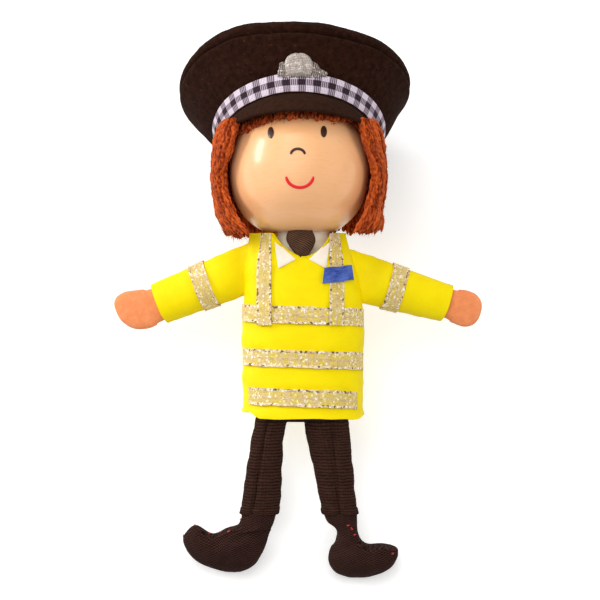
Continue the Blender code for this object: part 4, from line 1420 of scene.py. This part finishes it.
@dataclass
class Jacket:
    """The satin tube, open at the hem, with its ribbons, collar, shirt and tie."""

    bench: Bench
    place: Matrix
    neckline: float = -16.3
    hem: float = -62.6
    power: float = 2.5
    flat_back: float = 5.7

    @staticmethod
    def sway(y: float) -> float:
        """How far the shoulders sit to the left."""
        return -1.3 * ease(-34.0, -16.3, y)

    def half_width(self, y: float) -> float:
        """Half the jacket's width at a height.

        Args:
            y: The height.

        Returns:
            The half width.
        """
        stations = ((-16.3, 11.9), (-24.5, 13.7), (-37.0, 15.2), (-62.6, 14.9))
        for (y0, w0), (y1, w1) in zip(stations, stations[1:]):
            if y >= y1:
                return mix(w0, w1, min(max((y0 - y) / (y0 - y1), 0.0), 1.0))
        return stations[-1][1]

    def folds(self, turn: float, y: float) -> float:
        """How far the satin stands off its smooth form: slack between the ribbons and a rolled hem.

        Args:
            turn: Radians round it.
            y: The height.

        Returns:
            The distance.
        """
        slack = 0.0
        for low, high in ((-34.5, -20.0), (-45.4, -39.2), (-55.1, -50.1), (-62.6, -59.8)):
            if low < y < high:
                slack = math.sin(math.pi * (y - low) / (high - low)) ** 0.7
        wave = 0.30 + 0.55 * ripple(3.0 * turn, y, 1.0, 4.5) + 0.25 * ripple(9.0 * turn, y, 5.0, 3.0)
        return 0.42 * slack * wave + 0.10 * ripple(5.0 * turn, y, 9.0, 2.0)

    def skin(self, turn: float, y: float, lift: float = 0.0, slack: bool = True) -> Vector:
        """A point of the jacket's skin.

        Args:
            turn: Radians round it, from its right side over the front.
            y: The height.
            lift: How far out of the skin.
            slack: Whether the satin's folds are added.

        Returns:
            The point.
        """
        across = self.half_width(y)
        if slack:
            lift += self.folds(turn, y)
        c, s = math.cos(turn), math.sin(turn)
        x = math.copysign(abs(c) ** (2.0 / self.power), c)
        z = math.copysign(abs(s) ** (2.0 / self.power), s)
        depth = mix(7.2, 8.5, (self.neckline - y) / (self.neckline - self.hem))
        pinch = ease(7.3, 11.9, abs(x) * across) * ease(-24.5, self.neckline, y)
        depth *= mix(1.0, 0.20, pinch)
        height = max(z * max(depth + lift, 0.3), -self.flat_back - 0.3 * lift)
        return Vector((x * (across + lift) + self.sway(y), y, height))

    def front(self, x: float, y: float, lift: float) -> Vector:
        """The point over x on the front of the jacket, lifted off its smooth form.

        Args:
            x: Where it is across.
            y: The height.
            lift: How far off the form.

        Returns:
            The point.
        """
        off = x - self.sway(y)
        share = min(abs(off) / (self.half_width(y) + lift), 1.0)
        turn = math.acos(share ** (self.power / 2.0))
        return self.skin(turn if off >= 0 else math.pi - turn, y, lift, slack=False)

    def body(self) -> None:
        """The satin itself, dipping in a V at the neck."""

        def rule(around: float, down: float) -> Vector:
            """A point of the satin.

            Args:
                around: Share of the way round.
                down: Share of the way to the hem.

            Returns:
                The point.
            """
            turn = TAU * around
            x = self.skin(turn, self.neckline, 0.0, False).x
            dip = 5.8 * max(1.0 - (abs(x + 0.2) / 7.3) ** 1.8, 0.0) if math.sin(turn) > 0 else 0.0
            low = self.hem + 1.8 * ease(0.80, 1.0, abs(x) / 11.9) + 0.25 * ripple(6.0 * around, 0.0, 0.0, 0.4)
            y = mix(self.neckline - dip, low, down**1.25)
            roll = (
                0.35 * ease(0.035, 0.0, down)
                - 0.25 * ease(0.012, 0.0, down)
                + 0.25 * ease(0.975, 1.0, down)
            )
            return self.skin(turn, y, roll)

        def uv(around: float, down: float) -> Vector:
            """The satin laid flat."""
            return Vector((84.0 * around, -46.0 * down, 0.0))

        piece = self.bench.cloth("satin_jacket", 180, 110, rule, uv, 0.5, wrap=True)
        self.bench.hand_over(piece, self.place, YELLOW, ["jacket"])

    def patch(
        self, name: str, outline: Callable[[float, float], tuple[float, float]], lift: Rule | float, uv: Rule,
        grid: tuple[int, int], thick: float, look: object, node: str,
    ) -> bpy.types.Object:
        """A flat piece that is sewn on the front.

        Args:
            name: The piece's name.
            outline: Gives x and y on the front at two shares.
            lift: How far its skin stands off the jacket.
            uv: Its UV in millimetres.
            grid: Squares across and along.
            thick: Its thickness.
            look: Its finish.
            node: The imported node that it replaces.

        Returns:
            The new piece.
        """

        def rule(s: float, t: float) -> Vector:
            """A point of the patch, laid on the front."""
            x, y = outline(s, t)
            return self.front(x, y, lift(s, t) if callable(lift) else lift)

        piece = self.bench.cloth(name, *grid, rule, uv, thick, offset=0.0)
        return self.bench.hand_over(piece, self.place, look, [node])

    def ribbons(self) -> None:
        """The three bands across the front and the two braces down to the first."""
        width = 4.3
        for index, (name, level, reach) in enumerate(
            (("chest", -36.8, 0.995), ("waist", -47.7, 0.99), ("hem", -57.4, 0.90))
        ):

            def outline(
                s: float, t: float, level: float = level, reach: float = reach, index: int = index
            ) -> tuple[float, float]:
                """Where a point of the band lies.

                Args:
                    s: Share of its length.
                    t: Share of its width.
                    level: Its height.
                    reach: How far it goes to the sides, as a share.
                    index: Its number.

                Returns:
                    X and y.
                """
                share = 2.0 * s - 1.0
                x = math.sin(share * math.pi / 2) * reach * self.half_width(level)
                pucker = 0.18 * ripple(x, 7.0 * index, 3.0 * t, 2.2)
                return x, level - 0.7 * share + width * (t - 0.5) + pucker

            def lift(s: float, t: float, index: int = index) -> float:
                """How far it stands out, most at its edges and middle."""
                rail = 0.08 if abs(t - 0.5) > 0.38 or abs(t - 0.5) < 0.06 else 0.0
                return 0.34 + rail + 0.06 * ripple(40.0 * s, 4.0 * t, index, 2.0)

            def uv(s: float, t: float, index: int = index) -> Vector:
                """The band laid flat, with its own stretch of weave."""
                return Vector((width * (t - 0.5), 34.0 * s + 50.0 * index, 0.0))

            self.patch(f"{name}_ribbon", outline, lift, uv, (150, 16), 0.22, GOLD_BRAID, f"{name}_band")
        for side, low_x, top_x in ((Side.LEFT, -9.7, -9.2), (Side.RIGHT, 8.4, 7.9)):

            def outline(
                s: float, t: float, low_x: float = low_x, top_x: float = top_x
            ) -> tuple[float, float]:
                """Where a point of the brace lies.

                Args:
                    s: Share of its width.
                    t: Share of its length, from the neck down.
                    low_x: Where its foot is across.
                    top_x: Where its top is across.

                Returns:
                    X and y.
                """
                y = mix(-16.4, -39.3, t)
                down = ease(-16.4, -25.5, y)
                wide = mix(2.4, 3.6, down)
                return mix(top_x, low_x, down) + wide * (s - 0.5) + 0.1 * ripple(s, y, low_x, 2.0), y

            def lift(s: float, t: float) -> float:
                """How far it stands out, more where it crosses the chest band.

                Args:
                    s: Share of its width.
                    t: Share of its length.

                Returns:
                    The distance.
                """
                rail = 0.08 if abs(s - 0.5) > 0.38 or abs(s - 0.5) < 0.07 else 0.0
                over = 0.34 * ease(0.74, 0.80, t)
                return 0.36 + rail + over + 0.05 * ripple(4.0 * s, 20.0 * t, 2.0, 2.0)

            def uv(s: float, t: float, low_x: float = low_x) -> Vector:
                """The brace laid flat, with its own stretch of weave."""
                return Vector((4.3 * (s - 0.5), 23.0 * t + 9.0 * low_x, 0.0))

            name = f"brace_{side.word}"
            self.patch(f"{name}_ribbon", outline, lift, uv, (14, 100), 0.22, GOLD_BRAID, name)

    def trim(self) -> None:
        """The white collar points, the blue tab, the shirt and the tie's knot."""
        for side in Side:

            def point(s: float, t: float, side: Side = side) -> tuple[float, float]:
                """Where a point of the collar lies.

                Args:
                    s: Share of its width, outwards.
                    t: Share of its length, downwards.
                    side: Its side.

                Returns:
                    X and y.
                """
                top_x, top_y = mix(4.9, 6.8, s), mix(-20.0, -18.7, s)
                low_x, low_y = mix(1.7, 5.9, s), mix(-22.9, -25.1, s)
                return side.value * mix(top_x, low_x, t) - 0.2, mix(top_y, low_y, t)

            def lift(s: float, t: float) -> float:
                """How far the collar stands out, less at its edges."""
                return 0.40 - 0.14 * ease(0.12, 0.0, min(s, 1.0 - s, 1.0 - t))

            name = f"collar_{side.word}"
            self.patch(
                f"cotton_{name}", point, lift, lambda s, t: Vector((5 * s, 6 * t, 0)), (16, 16), 0.25,
                COTTON, name
            )

        def tab(s: float, t: float) -> tuple[float, float]:
            """Where a point of the blue tab lies."""
            x = mix(mix(5.35, 12.1, s), mix(4.8, 12.6, s), t)
            return x, mix(mix(-25.0, -24.3, s), mix(-29.0, -28.0, s), t) + 0.08 * math.sin(9.0 * s)

        self.patch(
            "blue_ribbon_tab", tab, 0.85, lambda s, t: Vector((7 * s, 4 * t, 0)), (24, 14), 0.3, BLUE,
            "blue_tab"
        )

        def shirt(s: float, t: float) -> Vector:
            """A point of the shirt's front.

            Args:
                s: Share of the way across.
                t: Share of the way down.

            Returns:
                The point.
            """
            turn = math.radians(mix(10.0, 170.0, s))
            bulge = 1.0 + 0.05 * ripple(4.0 * s, 5.0 * t, 0.0, 1.0)
            return Vector(
                (6.7 * math.cos(turn) * bulge, mix(-15.6, -24.5, t), 5.5 * math.sin(turn) ** 0.8 * bulge)
            )

        piece = self.bench.cloth("cotton_shirt", 40, 20, shirt, lambda s, t: Vector((16 * s, 9 * t, 0)), 0.4)
        self.bench.hand_over(piece, self.place, COTTON, ["shirt_front"])

        knot = (
            (-15.6, -3.4, 2.2, 0.85), (-16.8, -4.1, 2.8, 1.15), (-18.2, -4.1, 3.1, 1.3),
            (-19.8, -3.3, 2.6, 1.25), (-21.4, -2.1, 1.6, 1.1), (-22.3, -1.0, 0.8, 0.75),
            (-22.5, -0.3, 0.2, 0.3),
        )

        def tie(turn: float, share: float) -> Vector:
            """A point of the creased knot.

            Args:
                turn: Radians round it.
                share: Share of the way down.

            Returns:
                The point.
            """
            y, left, right, deep = glide(knot, share)
            crease = 0.16 * math.sin(3.0 * turn + 1.4 * y)
            x = mix(left, right, 0.5 + 0.5 * math.cos(turn))
            return Vector((x, y, 7.0 + (deep + crease) * math.sin(turn)))

        piece = self.bench.tube(
            "tie_knot", 36, 28, tie, lambda turn, share: Vector((2.9 * turn, 7 * share, 0))
        )
        self.bench.hand_over(piece, self.place, TIE_CLOTH, ["tie"])

    def neck(self) -> None:
        """The felt tube that carries the head, under the chin."""

        def rule(turn: float, share: float) -> Vector:
            """A point of the neck tube."""
            return Vector((-1.0 + 4.6 * math.cos(turn), mix(-8.3, -27.0, share), 4.6 * math.sin(turn)))

        piece = self.bench.tube("felt_neck", 32, 8, rule)
        self.bench.hand_over(piece, self.place, TAN_FELT, ["neck_tube"])

    def build(self) -> None:
        """Builds the jacket and all that is sewn on it."""
        self.neck()
        self.body()
        self.ribbons()
        self.trim()


# Arms


@dataclass
class Arm:
    """A satin sleeve with its ribbon, and the felt hand in its cuff."""

    bench: Bench
    place: Matrix
    side: Side
    length: float
    ribbon: float
    hand: float
    bend: float
    cuff: float
    palm: float
    sag: float = 0.0

    def size(self, y: float) -> tuple[float, float]:
        """Half the sleeve's width and depth at a distance below the shoulder."""
        share = min(max(-y / self.length, 0.0), 1.0)
        return mix(5.95, self.cuff, share**1.3), mix(4.0, 3.1, share) * mix(1.0, 0.36, ease(-7.0, 1.5, y))

    def point(self, turn: float, y: float, lift: float) -> Vector:
        """A point of the sleeve's skin.

        Args:
            turn: Radians round it.
            y: The height, 0 at the shoulder.
            lift: How far off the form.

        Returns:
            The point.
        """
        wide, deep = self.size(y)
        low = max(-self.side.value * math.cos(turn), 0.0)
        x = (
            (wide + lift) * math.cos(turn)
            + self.sag * math.sin(math.pi * min(max(-y / self.length, 0.0), 1.0))
        )
        y += 0.5 * low**3 * ease(-self.length + 4.0, -self.length, y)
        return Vector((x, y, (deep + lift) * math.sin(turn)))

    def sleeve(self) -> None:
        """The sleeve, creased near the shoulder and rolled in at the cuff."""
        stops = [4.6, 0.0, *[-self.length * i / 8 for i in range(1, 9)]]

        def rule(turn: float, share: float) -> Vector:
            """A point of the sleeve, and past the cuff of the satin turned in.

            Args:
                turn: Radians round it.
                share: Share of the way down and in.

            Returns:
                The point.
            """
            if share > 0.94:
                inward = (share - 0.94) / 0.06
                return self.point(
                    turn, -self.length + 2.6 * ease(0.25, 1.0, inward), -1.05 * ease(0.0, 0.35, inward)
                )
            y = glide([(s,) for s in stops], share / 0.94)[0]
            crease = 0.14 * ease(-10.0, -1.0, y) * ripple(2.2 * turn, y * 0.5, self.side.value * 3.0, 1.3)
            hold = 1.0 - math.exp(-(((y + self.ribbon) / 2.4) ** 4))
            rumple = ripple(2.0 * turn, y, self.side.value * 7.0, 3.0)
            slack = 0.20 * hold * rumple * ease(-self.length, -self.length + 3.0, y)
            return self.point(turn, y, crease + slack)

        def uv(turn: float, share: float) -> Vector:
            """The satin laid flat."""
            return Vector((5.0 * turn, 27.0 * share, 0.0))

        name = f"sleeve_{self.side.word}"
        piece = self.bench.tube(f"satin_{name}", 64, 90, rule, uv)
        self.bench.hand_over(piece, self.place, YELLOW, [name])

    def band(self) -> None:
        """The ribbon round the sleeve."""
        width = 4.1

        def rule(around: float, along: float) -> Vector:
            """A point of the ribbon.

            Args:
                around: Share of the way round.
                along: Share of its width.

            Returns:
                The point.
            """
            turn = TAU * around
            y = -self.ribbon + width * (along - 0.5) + 0.15 * ripple(6.0 * around, 2.0, self.side.value, 0.6)
            rail = 0.08 if abs(along - 0.5) > 0.38 or abs(along - 0.5) < 0.06 else 0.0
            return self.point(turn, y, 0.26 + rail + 0.05 * ripple(9.0 * around, 6.0 * along, 1.0, 1.0))

        def uv(around: float, along: float) -> Vector:
            """The ribbon laid flat, with its own stretch of weave."""
            return Vector((4.3 * (along - 0.5), 31.0 * around + 200.0 * self.side.value, 0.0))

        name = f"sleeve_band_{self.side.word}"
        piece = self.bench.cloth(f"{name}_ribbon", 120, 14, rule, uv, 0.22, offset=0.0, wrap=True)
        self.bench.hand_over(piece, self.place, GOLD_BRAID, [name])

    def mitten(self) -> None:
        """The hand, cut from felt, with a soft rounded edge."""
        stations = [
            (4.0, 0.75, 0.8), (1.5, 0.80, 1.0), (0.0, 0.82, 1.0), (-0.22, 0.93, 1.0), (-0.45, 1.0, 1.0),
            (-0.66, 0.97, 1.0), (-0.82, 0.83, 0.97), (-0.93, 0.60, 0.85), (-0.985, 0.34, 0.62),
            (-1.0, 0.06, 0.2),
        ]

        def rule(turn: float, share: float) -> Vector:
            """A point of the hand.

            Args:
                turn: Radians round it.
                share: Share of the way to its tip.

            Returns:
                The point.
            """
            along, full, deep = glide(stations, share)
            y = along if along > 0 else along * self.hand
            offset = self.bend * min(along, 0.0) ** 2
            c, s = math.cos(turn), math.sin(turn)
            x = math.copysign(abs(c) ** 0.8, c) * self.palm * full
            z = math.copysign(abs(s) ** 0.8, s) * 1.55 * deep
            lump = 0.12 * ripple(x, y, self.side.value * 5.0, 2.2)
            return Vector((x + offset + lump, y - self.length, z + lump))

        name = f"hand_{self.side.word}"
        piece = self.bench.tube(f"felt_{name}", 48, 44, rule)
        self.bench.hand_over(piece, self.place, TAN_FELT, [name])

    def build(self) -> None:
        """Builds the arm from the shoulder out."""
        self.sleeve()
        self.band()
        self.mitten()


# Legs


@dataclass
class Legs:
    """The corded trousers, the stuffed twill shoes and their red stitches."""

    bench: Bench
    place: Matrix
    hem: float = -26.8

    def section(
        self, y: float, left: float, right: float, deep: float, turn: float, power: float = 2.3
    ) -> Vector:
        """A point round a soft oval section.

        Args:
            y: The height.
            left: Its left edge.
            right: Its right edge.
            deep: Half its depth.
            turn: Radians round it.
            power: 2 is an ellipse, and more is squarer.

        Returns:
            The point.
        """
        c, s = math.cos(turn), math.sin(turn)
        x = math.copysign(abs(c) ** (2.0 / power), c)
        z = math.copysign(abs(s) ** (2.0 / power), s)
        return Vector((mix(left, right, 0.5 + 0.5 * x), y, deep * z))

    def trousers(self) -> None:
        """Two corded legs and the seat that joins them inside the jacket."""
        left = (
            (1.5, -9.6, -0.6), (-4.0, -11.2, -3.2), (-10.0, -12.2, -4.0), (-16.0, -13.2, -4.3),
            (-22.0, -14.0, -4.5), (self.hem, -14.7, -5.2)
        )
        right = (
            (1.5, 0.6, 11.8), (-5.0, 1.5, 12.5), (-10.0, 2.5, 13.0), (-16.0, 3.8, 13.5), (-22.0, 5.0, 14.0),
            (self.hem, 6.0, 14.7)
        )
        pieces = []
        for side, stations, seam in ((Side.LEFT, left, 1.72), (Side.RIGHT, right, 1.35)):

            def rule(
                turn: float, share: float, stations: tuple = stations, side: Side = side, seam: float = seam
            ) -> Vector:
                """A point of the leg.

                Args:
                    turn: Radians round it.
                    share: Share of the way down.
                    stations: The leg's outline.
                    side: Its side.
                    seam: Where its seam is, in radians.

                Returns:
                    The point.
                """
                y, x0, x1 = glide(stations, share)
                cuff = 0.25 * ease(0.90, 0.93, share) - 0.5 * ease(0.985, 1.0, share)
                groove = -0.75 * math.exp(-(((turn - seam - 0.25 * share) / 0.10) ** 2))
                lump = (
                    0.30 * ripple(2.0 * turn, y, 4.0 * side.value, 3.5)
                    + 0.10 * ripple(5.0 * turn, y, side.value, 0.8)
                )
                swell = groove + lump + cuff
                return self.section(
                    y, x0 - swell, x1 + swell, 2.9 * mix(0.62, 1.0, ease(1.5, -5.0, y)) + swell, turn
                )

            def uv(turn: float, share: float) -> Vector:
                """The cloth laid flat."""
                return Vector((3.7 * turn, 28.3 * share, 0.0))

            pieces.append(self.bench.tube(f"leg_{side.word}", 56, 90, rule, uv))

        def seat(turn: float, share: float) -> Vector:
            """A point of the seat."""
            return self.section(mix(6.0, -3.2, share), -7.5, 9.5, mix(1.1, 1.6, share), turn, 3.0)

        pieces.append(
            self.bench.tube("seat", 56, 8, seat, lambda turn, share: Vector((4 * turn, 9 * share, 0)))
        )
        piece = self.bench.join(pieces, "corded_trousers")
        self.bench.hand_over(piece, self.place, CORD, ["trousers"])

    def stitch(self, shoe: bpy.types.Object, x: float, y: float) -> bpy.types.Object:
        """A short stitch of thread that stands out of the shoe at the front nearest to x and y.

        Args:
            shoe: The shoe.
            x: Where it is across.
            y: The height.

        Returns:
            The stitch.
        """
        spot = min(shoe.data.vertices, key=lambda v: (v.co.x - x) ** 2 + (v.co.y - y) ** 2 - 0.05 * v.co.z)
        Bench.clear()
        bpy.ops.mesh.primitive_uv_sphere_add(segments=10, ring_count=6, radius=1.0)
        knot = bpy.context.object
        turn = Matrix.Rotation(2.3 * x, 4, "Z") @ Matrix.Diagonal((0.46, 0.24, 0.24, 1.0))
        knot.data.transform(Matrix.Translation(spot.co) @ turn)
        return knot

    def shoes(self) -> None:
        """Each shoe is stuffed from the ankle, and bent out to its toe."""
        top = self.hem + 0.6
        left = (
            (top, -14.4, -5.6, 0.72), (top - 2.2, -14.6, -6.2, 0.78), (top - 3.9, -16.6, -6.8, 0.82),
            (top - 4.9, -25.6, -7.1, 0.80), (top - 6.2, -28.5, -7.6, 0.88), (top - 7.8, -29.0, -8.1, 1.0),
            (top - 9.6, -28.4, -8.7, 1.0), (top - 11.2, -27.2, -9.5, 0.95),
            (top - 13.0, -24.9, -10.6, 0.80), (top - 14.3, -21.8, -12.2, 0.60),
            (top - 15.2, -18.8, -14.2, 0.28),
        )
        right = (
            (top, 5.9, 14.5, 0.72), (top - 2.4, 7.0, 14.5, 0.78), (top - 4.4, 9.4, 14.7, 0.82),
            (top - 6.6, 9.3, 16.0, 0.86), (top - 7.8, 8.8, 19.0, 0.88), (top - 8.8, 8.0, 24.0, 0.92),
            (top - 10.6, 7.4, 24.8, 1.0), (top - 12.2, 7.3, 24.4, 1.0), (top - 14.0, 8.0, 23.2, 0.92),
            (top - 15.5, 9.3, 20.9, 0.70), (top - 16.6, 12.0, 17.8, 0.28),
        )
        spots = {
            Side.LEFT: [
                (-14.8, -27.9), (-17.5, -30.5), (-20.0, -31.0), (-22.2, -30.8), (-26.2, -29.2),
                (-29.4, -32.4)
            ],
            Side.RIGHT: [(12.5, -25.9), (12.4, -29.2), (13.2, -30.1), (13.8, -31.6), (23.4, -36.4)],
        }
        knots = []
        for side, stations in ((Side.LEFT, left), (Side.RIGHT, right)):

            def rule(turn: float, share: float, stations: tuple = stations, side: Side = side) -> Vector:
                """A point of the shoe.

                Args:
                    turn: Radians round it.
                    share: Share of the way to the toe.
                    stations: The shoe's outline.
                    side: Its side.

                Returns:
                    The point.
                """
                y, x0, x1, full = glide(stations, share)
                deep = mix(4.2, 5.0, ease(top - 3.0, top - 9.0, y)) * full
                lump = 0.35 * ripple(
                    0.5 * x0 * math.cos(turn), y, 3.0 * math.sin(turn) + 9.0 * side.value, 2.6
                )
                point = self.section(y, x0 - 0.4 * lump, x1 + 0.4 * lump, deep + lump, turn, 2.15)
                upper = ease(top - 12.5, top - 6.0, y)
                if side is Side.LEFT:
                    curl = (
                        1.5 * math.exp(-(((point.x + 26.2) / 2.4) ** 2))
                        - 1.5 * math.exp(-(((point.x + 21.2) / 2.6) ** 2))
                    )
                else:
                    curl = -1.0 * math.exp(-(((point.x - 17.2) / 2.4) ** 2)) - 0.3
                point.y += curl * upper * ease(top - 3.4, top - 4.6, y)
                return point

            def uv(turn: float, share: float) -> Vector:
                """The cloth laid flat."""
                return Vector((6.0 * turn, 20.0 * share, 0.0))

            piece = self.bench.tube(f"twill_shoe_{side.word}", 72, 72, rule, uv)
            knots += [self.stitch(piece, x, y) for x, y in spots[side]]
            self.bench.hand_over(piece, self.place, TWILL, [f"shoe_{side.word}"])
        self.bench.hand_over(self.bench.join(knots, "red_stitches"), self.place, RED_THREAD, [])

    def build(self) -> None:
        """Builds the trousers, then the shoes."""
        self.trousers()
        self.shoes()


# Studio


@dataclass
class Studio:
    """A pale table top, plain soft lamps and a long lens that looks straight down on the puppet's front."""

    pose: Pose
    distance: float = 1200.0
    frame_width: float = 150.0
    middle: tuple[float, float] = (0.25, -33.0)

    def floor(self) -> None:
        """The pale surface that the puppet lies on."""
        Bench.clear()
        bpy.ops.mesh.primitive_plane_add(size=6.0, location=(0.0, 0.0, -0.0002))
        table = bpy.context.object
        table.name = "table_top"
        paint = Paint("pale table")
        path = paint.node("ShaderNodeLightPath", {}, {})
        seen = Val(paint, path.outputs["Is Camera Ray"]) + Val(paint, path.outputs["Is Glossy Ray"])
        seen = (seen + Val(paint, path.outputs["Is Transmission Ray"])).math("MINIMUM", 1.0)
        glow = paint.node("ShaderNodeEmission", {}, {"Color": (1.0, 1.0, 1.0), "Strength": seen * 0.42})
        paint.set(Base_Color=(0.80, 0.80, 0.80), Roughness=0.9)
        both = paint.node(
            "ShaderNodeAddShader", {},
            {0: Val(paint, paint.shader.outputs[0]), 1: Val(paint, glow.outputs[0])}
        )
        paint.tree.links.new(both.outputs[0], paint.tree.nodes["Material Output"].inputs["Surface"])
        table.data.materials.append(paint.material)

    def lamp(
        self, name: str, way: tuple[float, float, float], size: tuple[float, float], power: float,
        colour: Colour
    ) -> bpy.types.Object:
        """A soft panel of light.

        Args:
            name: The lamp's name.
            way: From the head to the lamp, in the puppet's frame, in metres.
            size: Its width and height.
            power: Watts.
            colour: Its colour.

        Returns:
            The lamp.
        """
        data = bpy.data.lights.new(name, "AREA")
        data.shape = "RECTANGLE"
        data.size, data.size_y = size
        data.energy = power
        data.color = colour
        lamp = bpy.data.objects.new(name, data)
        bpy.context.collection.objects.link(lamp)
        aim = self.pose.puppet @ Vector((0.0, -20.0, 0.0))
        lamp.location = self.pose.puppet @ (Vector(way) * 1000.0)
        lamp.rotation_euler = (aim - lamp.location).to_track_quat("-Z", "Y").to_euler()
        return lamp

    def lights(self) -> None:
        """A warm panel at the upper left, a broad one overhead, one past the cap and a weak one at right."""
        world = bpy.data.worlds.new("studio")
        world.use_nodes = True
        world.node_tree.nodes["Background"].inputs["Color"].default_value = (1.0, 1.0, 1.0, 1.0)
        world.node_tree.nodes["Background"].inputs["Strength"].default_value = 0.40
        bpy.context.scene.world = world
        self.lamp("window", (-0.92, 0.39, 0.26), (0.56, 0.20), 6.4, (1.0, 0.97, 0.93))
        self.lamp("overhead", (-0.25, 0.42, 1.2), (0.9, 0.9), 7.3, (1.0, 0.99, 0.97)).visible_glossy = False
        self.lamp("sheen", (-0.22, 0.93, 0.68), (0.6, 0.5), 2.2, (1.0, 0.99, 0.97))
        self.lamp("fill", (0.9, 0.1, 0.6), (0.5, 0.5), 2.8, (1.0, 0.98, 0.95)).visible_glossy = False

    def camera(self) -> None:
        """A long lens, square to the puppet's own plane."""
        data = bpy.data.cameras.new("camera")
        data.sensor_width = 36.0
        data.lens = 36.0 * self.distance / self.frame_width
        data.clip_start = 0.05
        camera = bpy.data.objects.new("camera", data)
        bpy.context.collection.objects.link(camera)
        camera.location = self.pose.puppet @ Vector((*self.middle, self.distance))
        camera.rotation_euler = (self.pose.tilt, 0.0, 0.0)
        bpy.context.scene.camera = camera

    def build(self) -> None:
        """Sets the studio up."""
        self.floor()
        self.lights()
        self.camera()
        bpy.context.scene.view_settings.view_transform = "Standard"


def main() -> None:
    """Builds the puppet from the head down, then the studio."""
    logging.basicConfig(level=logging.INFO, format="%(message)s")
    pose = Pose.from_frame()
    bench = Bench()
    head = Head(bench, pose.puppet)
    head.ball()
    head.face()
    Hair(bench, head, pose.puppet).build()
    Cap(bench, pose.cap).build()
    Jacket(bench, pose.body).build()
    left = pose.arm(Side.LEFT, Vector((-14.5, -25.5, 0.0)), 21.3)
    right = pose.arm(Side.RIGHT, Vector((14.3, -27.35, 0.0)), 16.4)
    Arm(bench, left, Side.LEFT, 23.6, 11.0, 10.6, -2.2, 5.25, 5.15).build()
    Arm(bench, right, Side.RIGHT, 23.2, 9.1, 8.6, 0.0, 4.75, 4.55, -0.15).build()
    Legs(bench, pose.hips).build()
    Studio(pose).build()


if __name__ == "__main__":
    main()
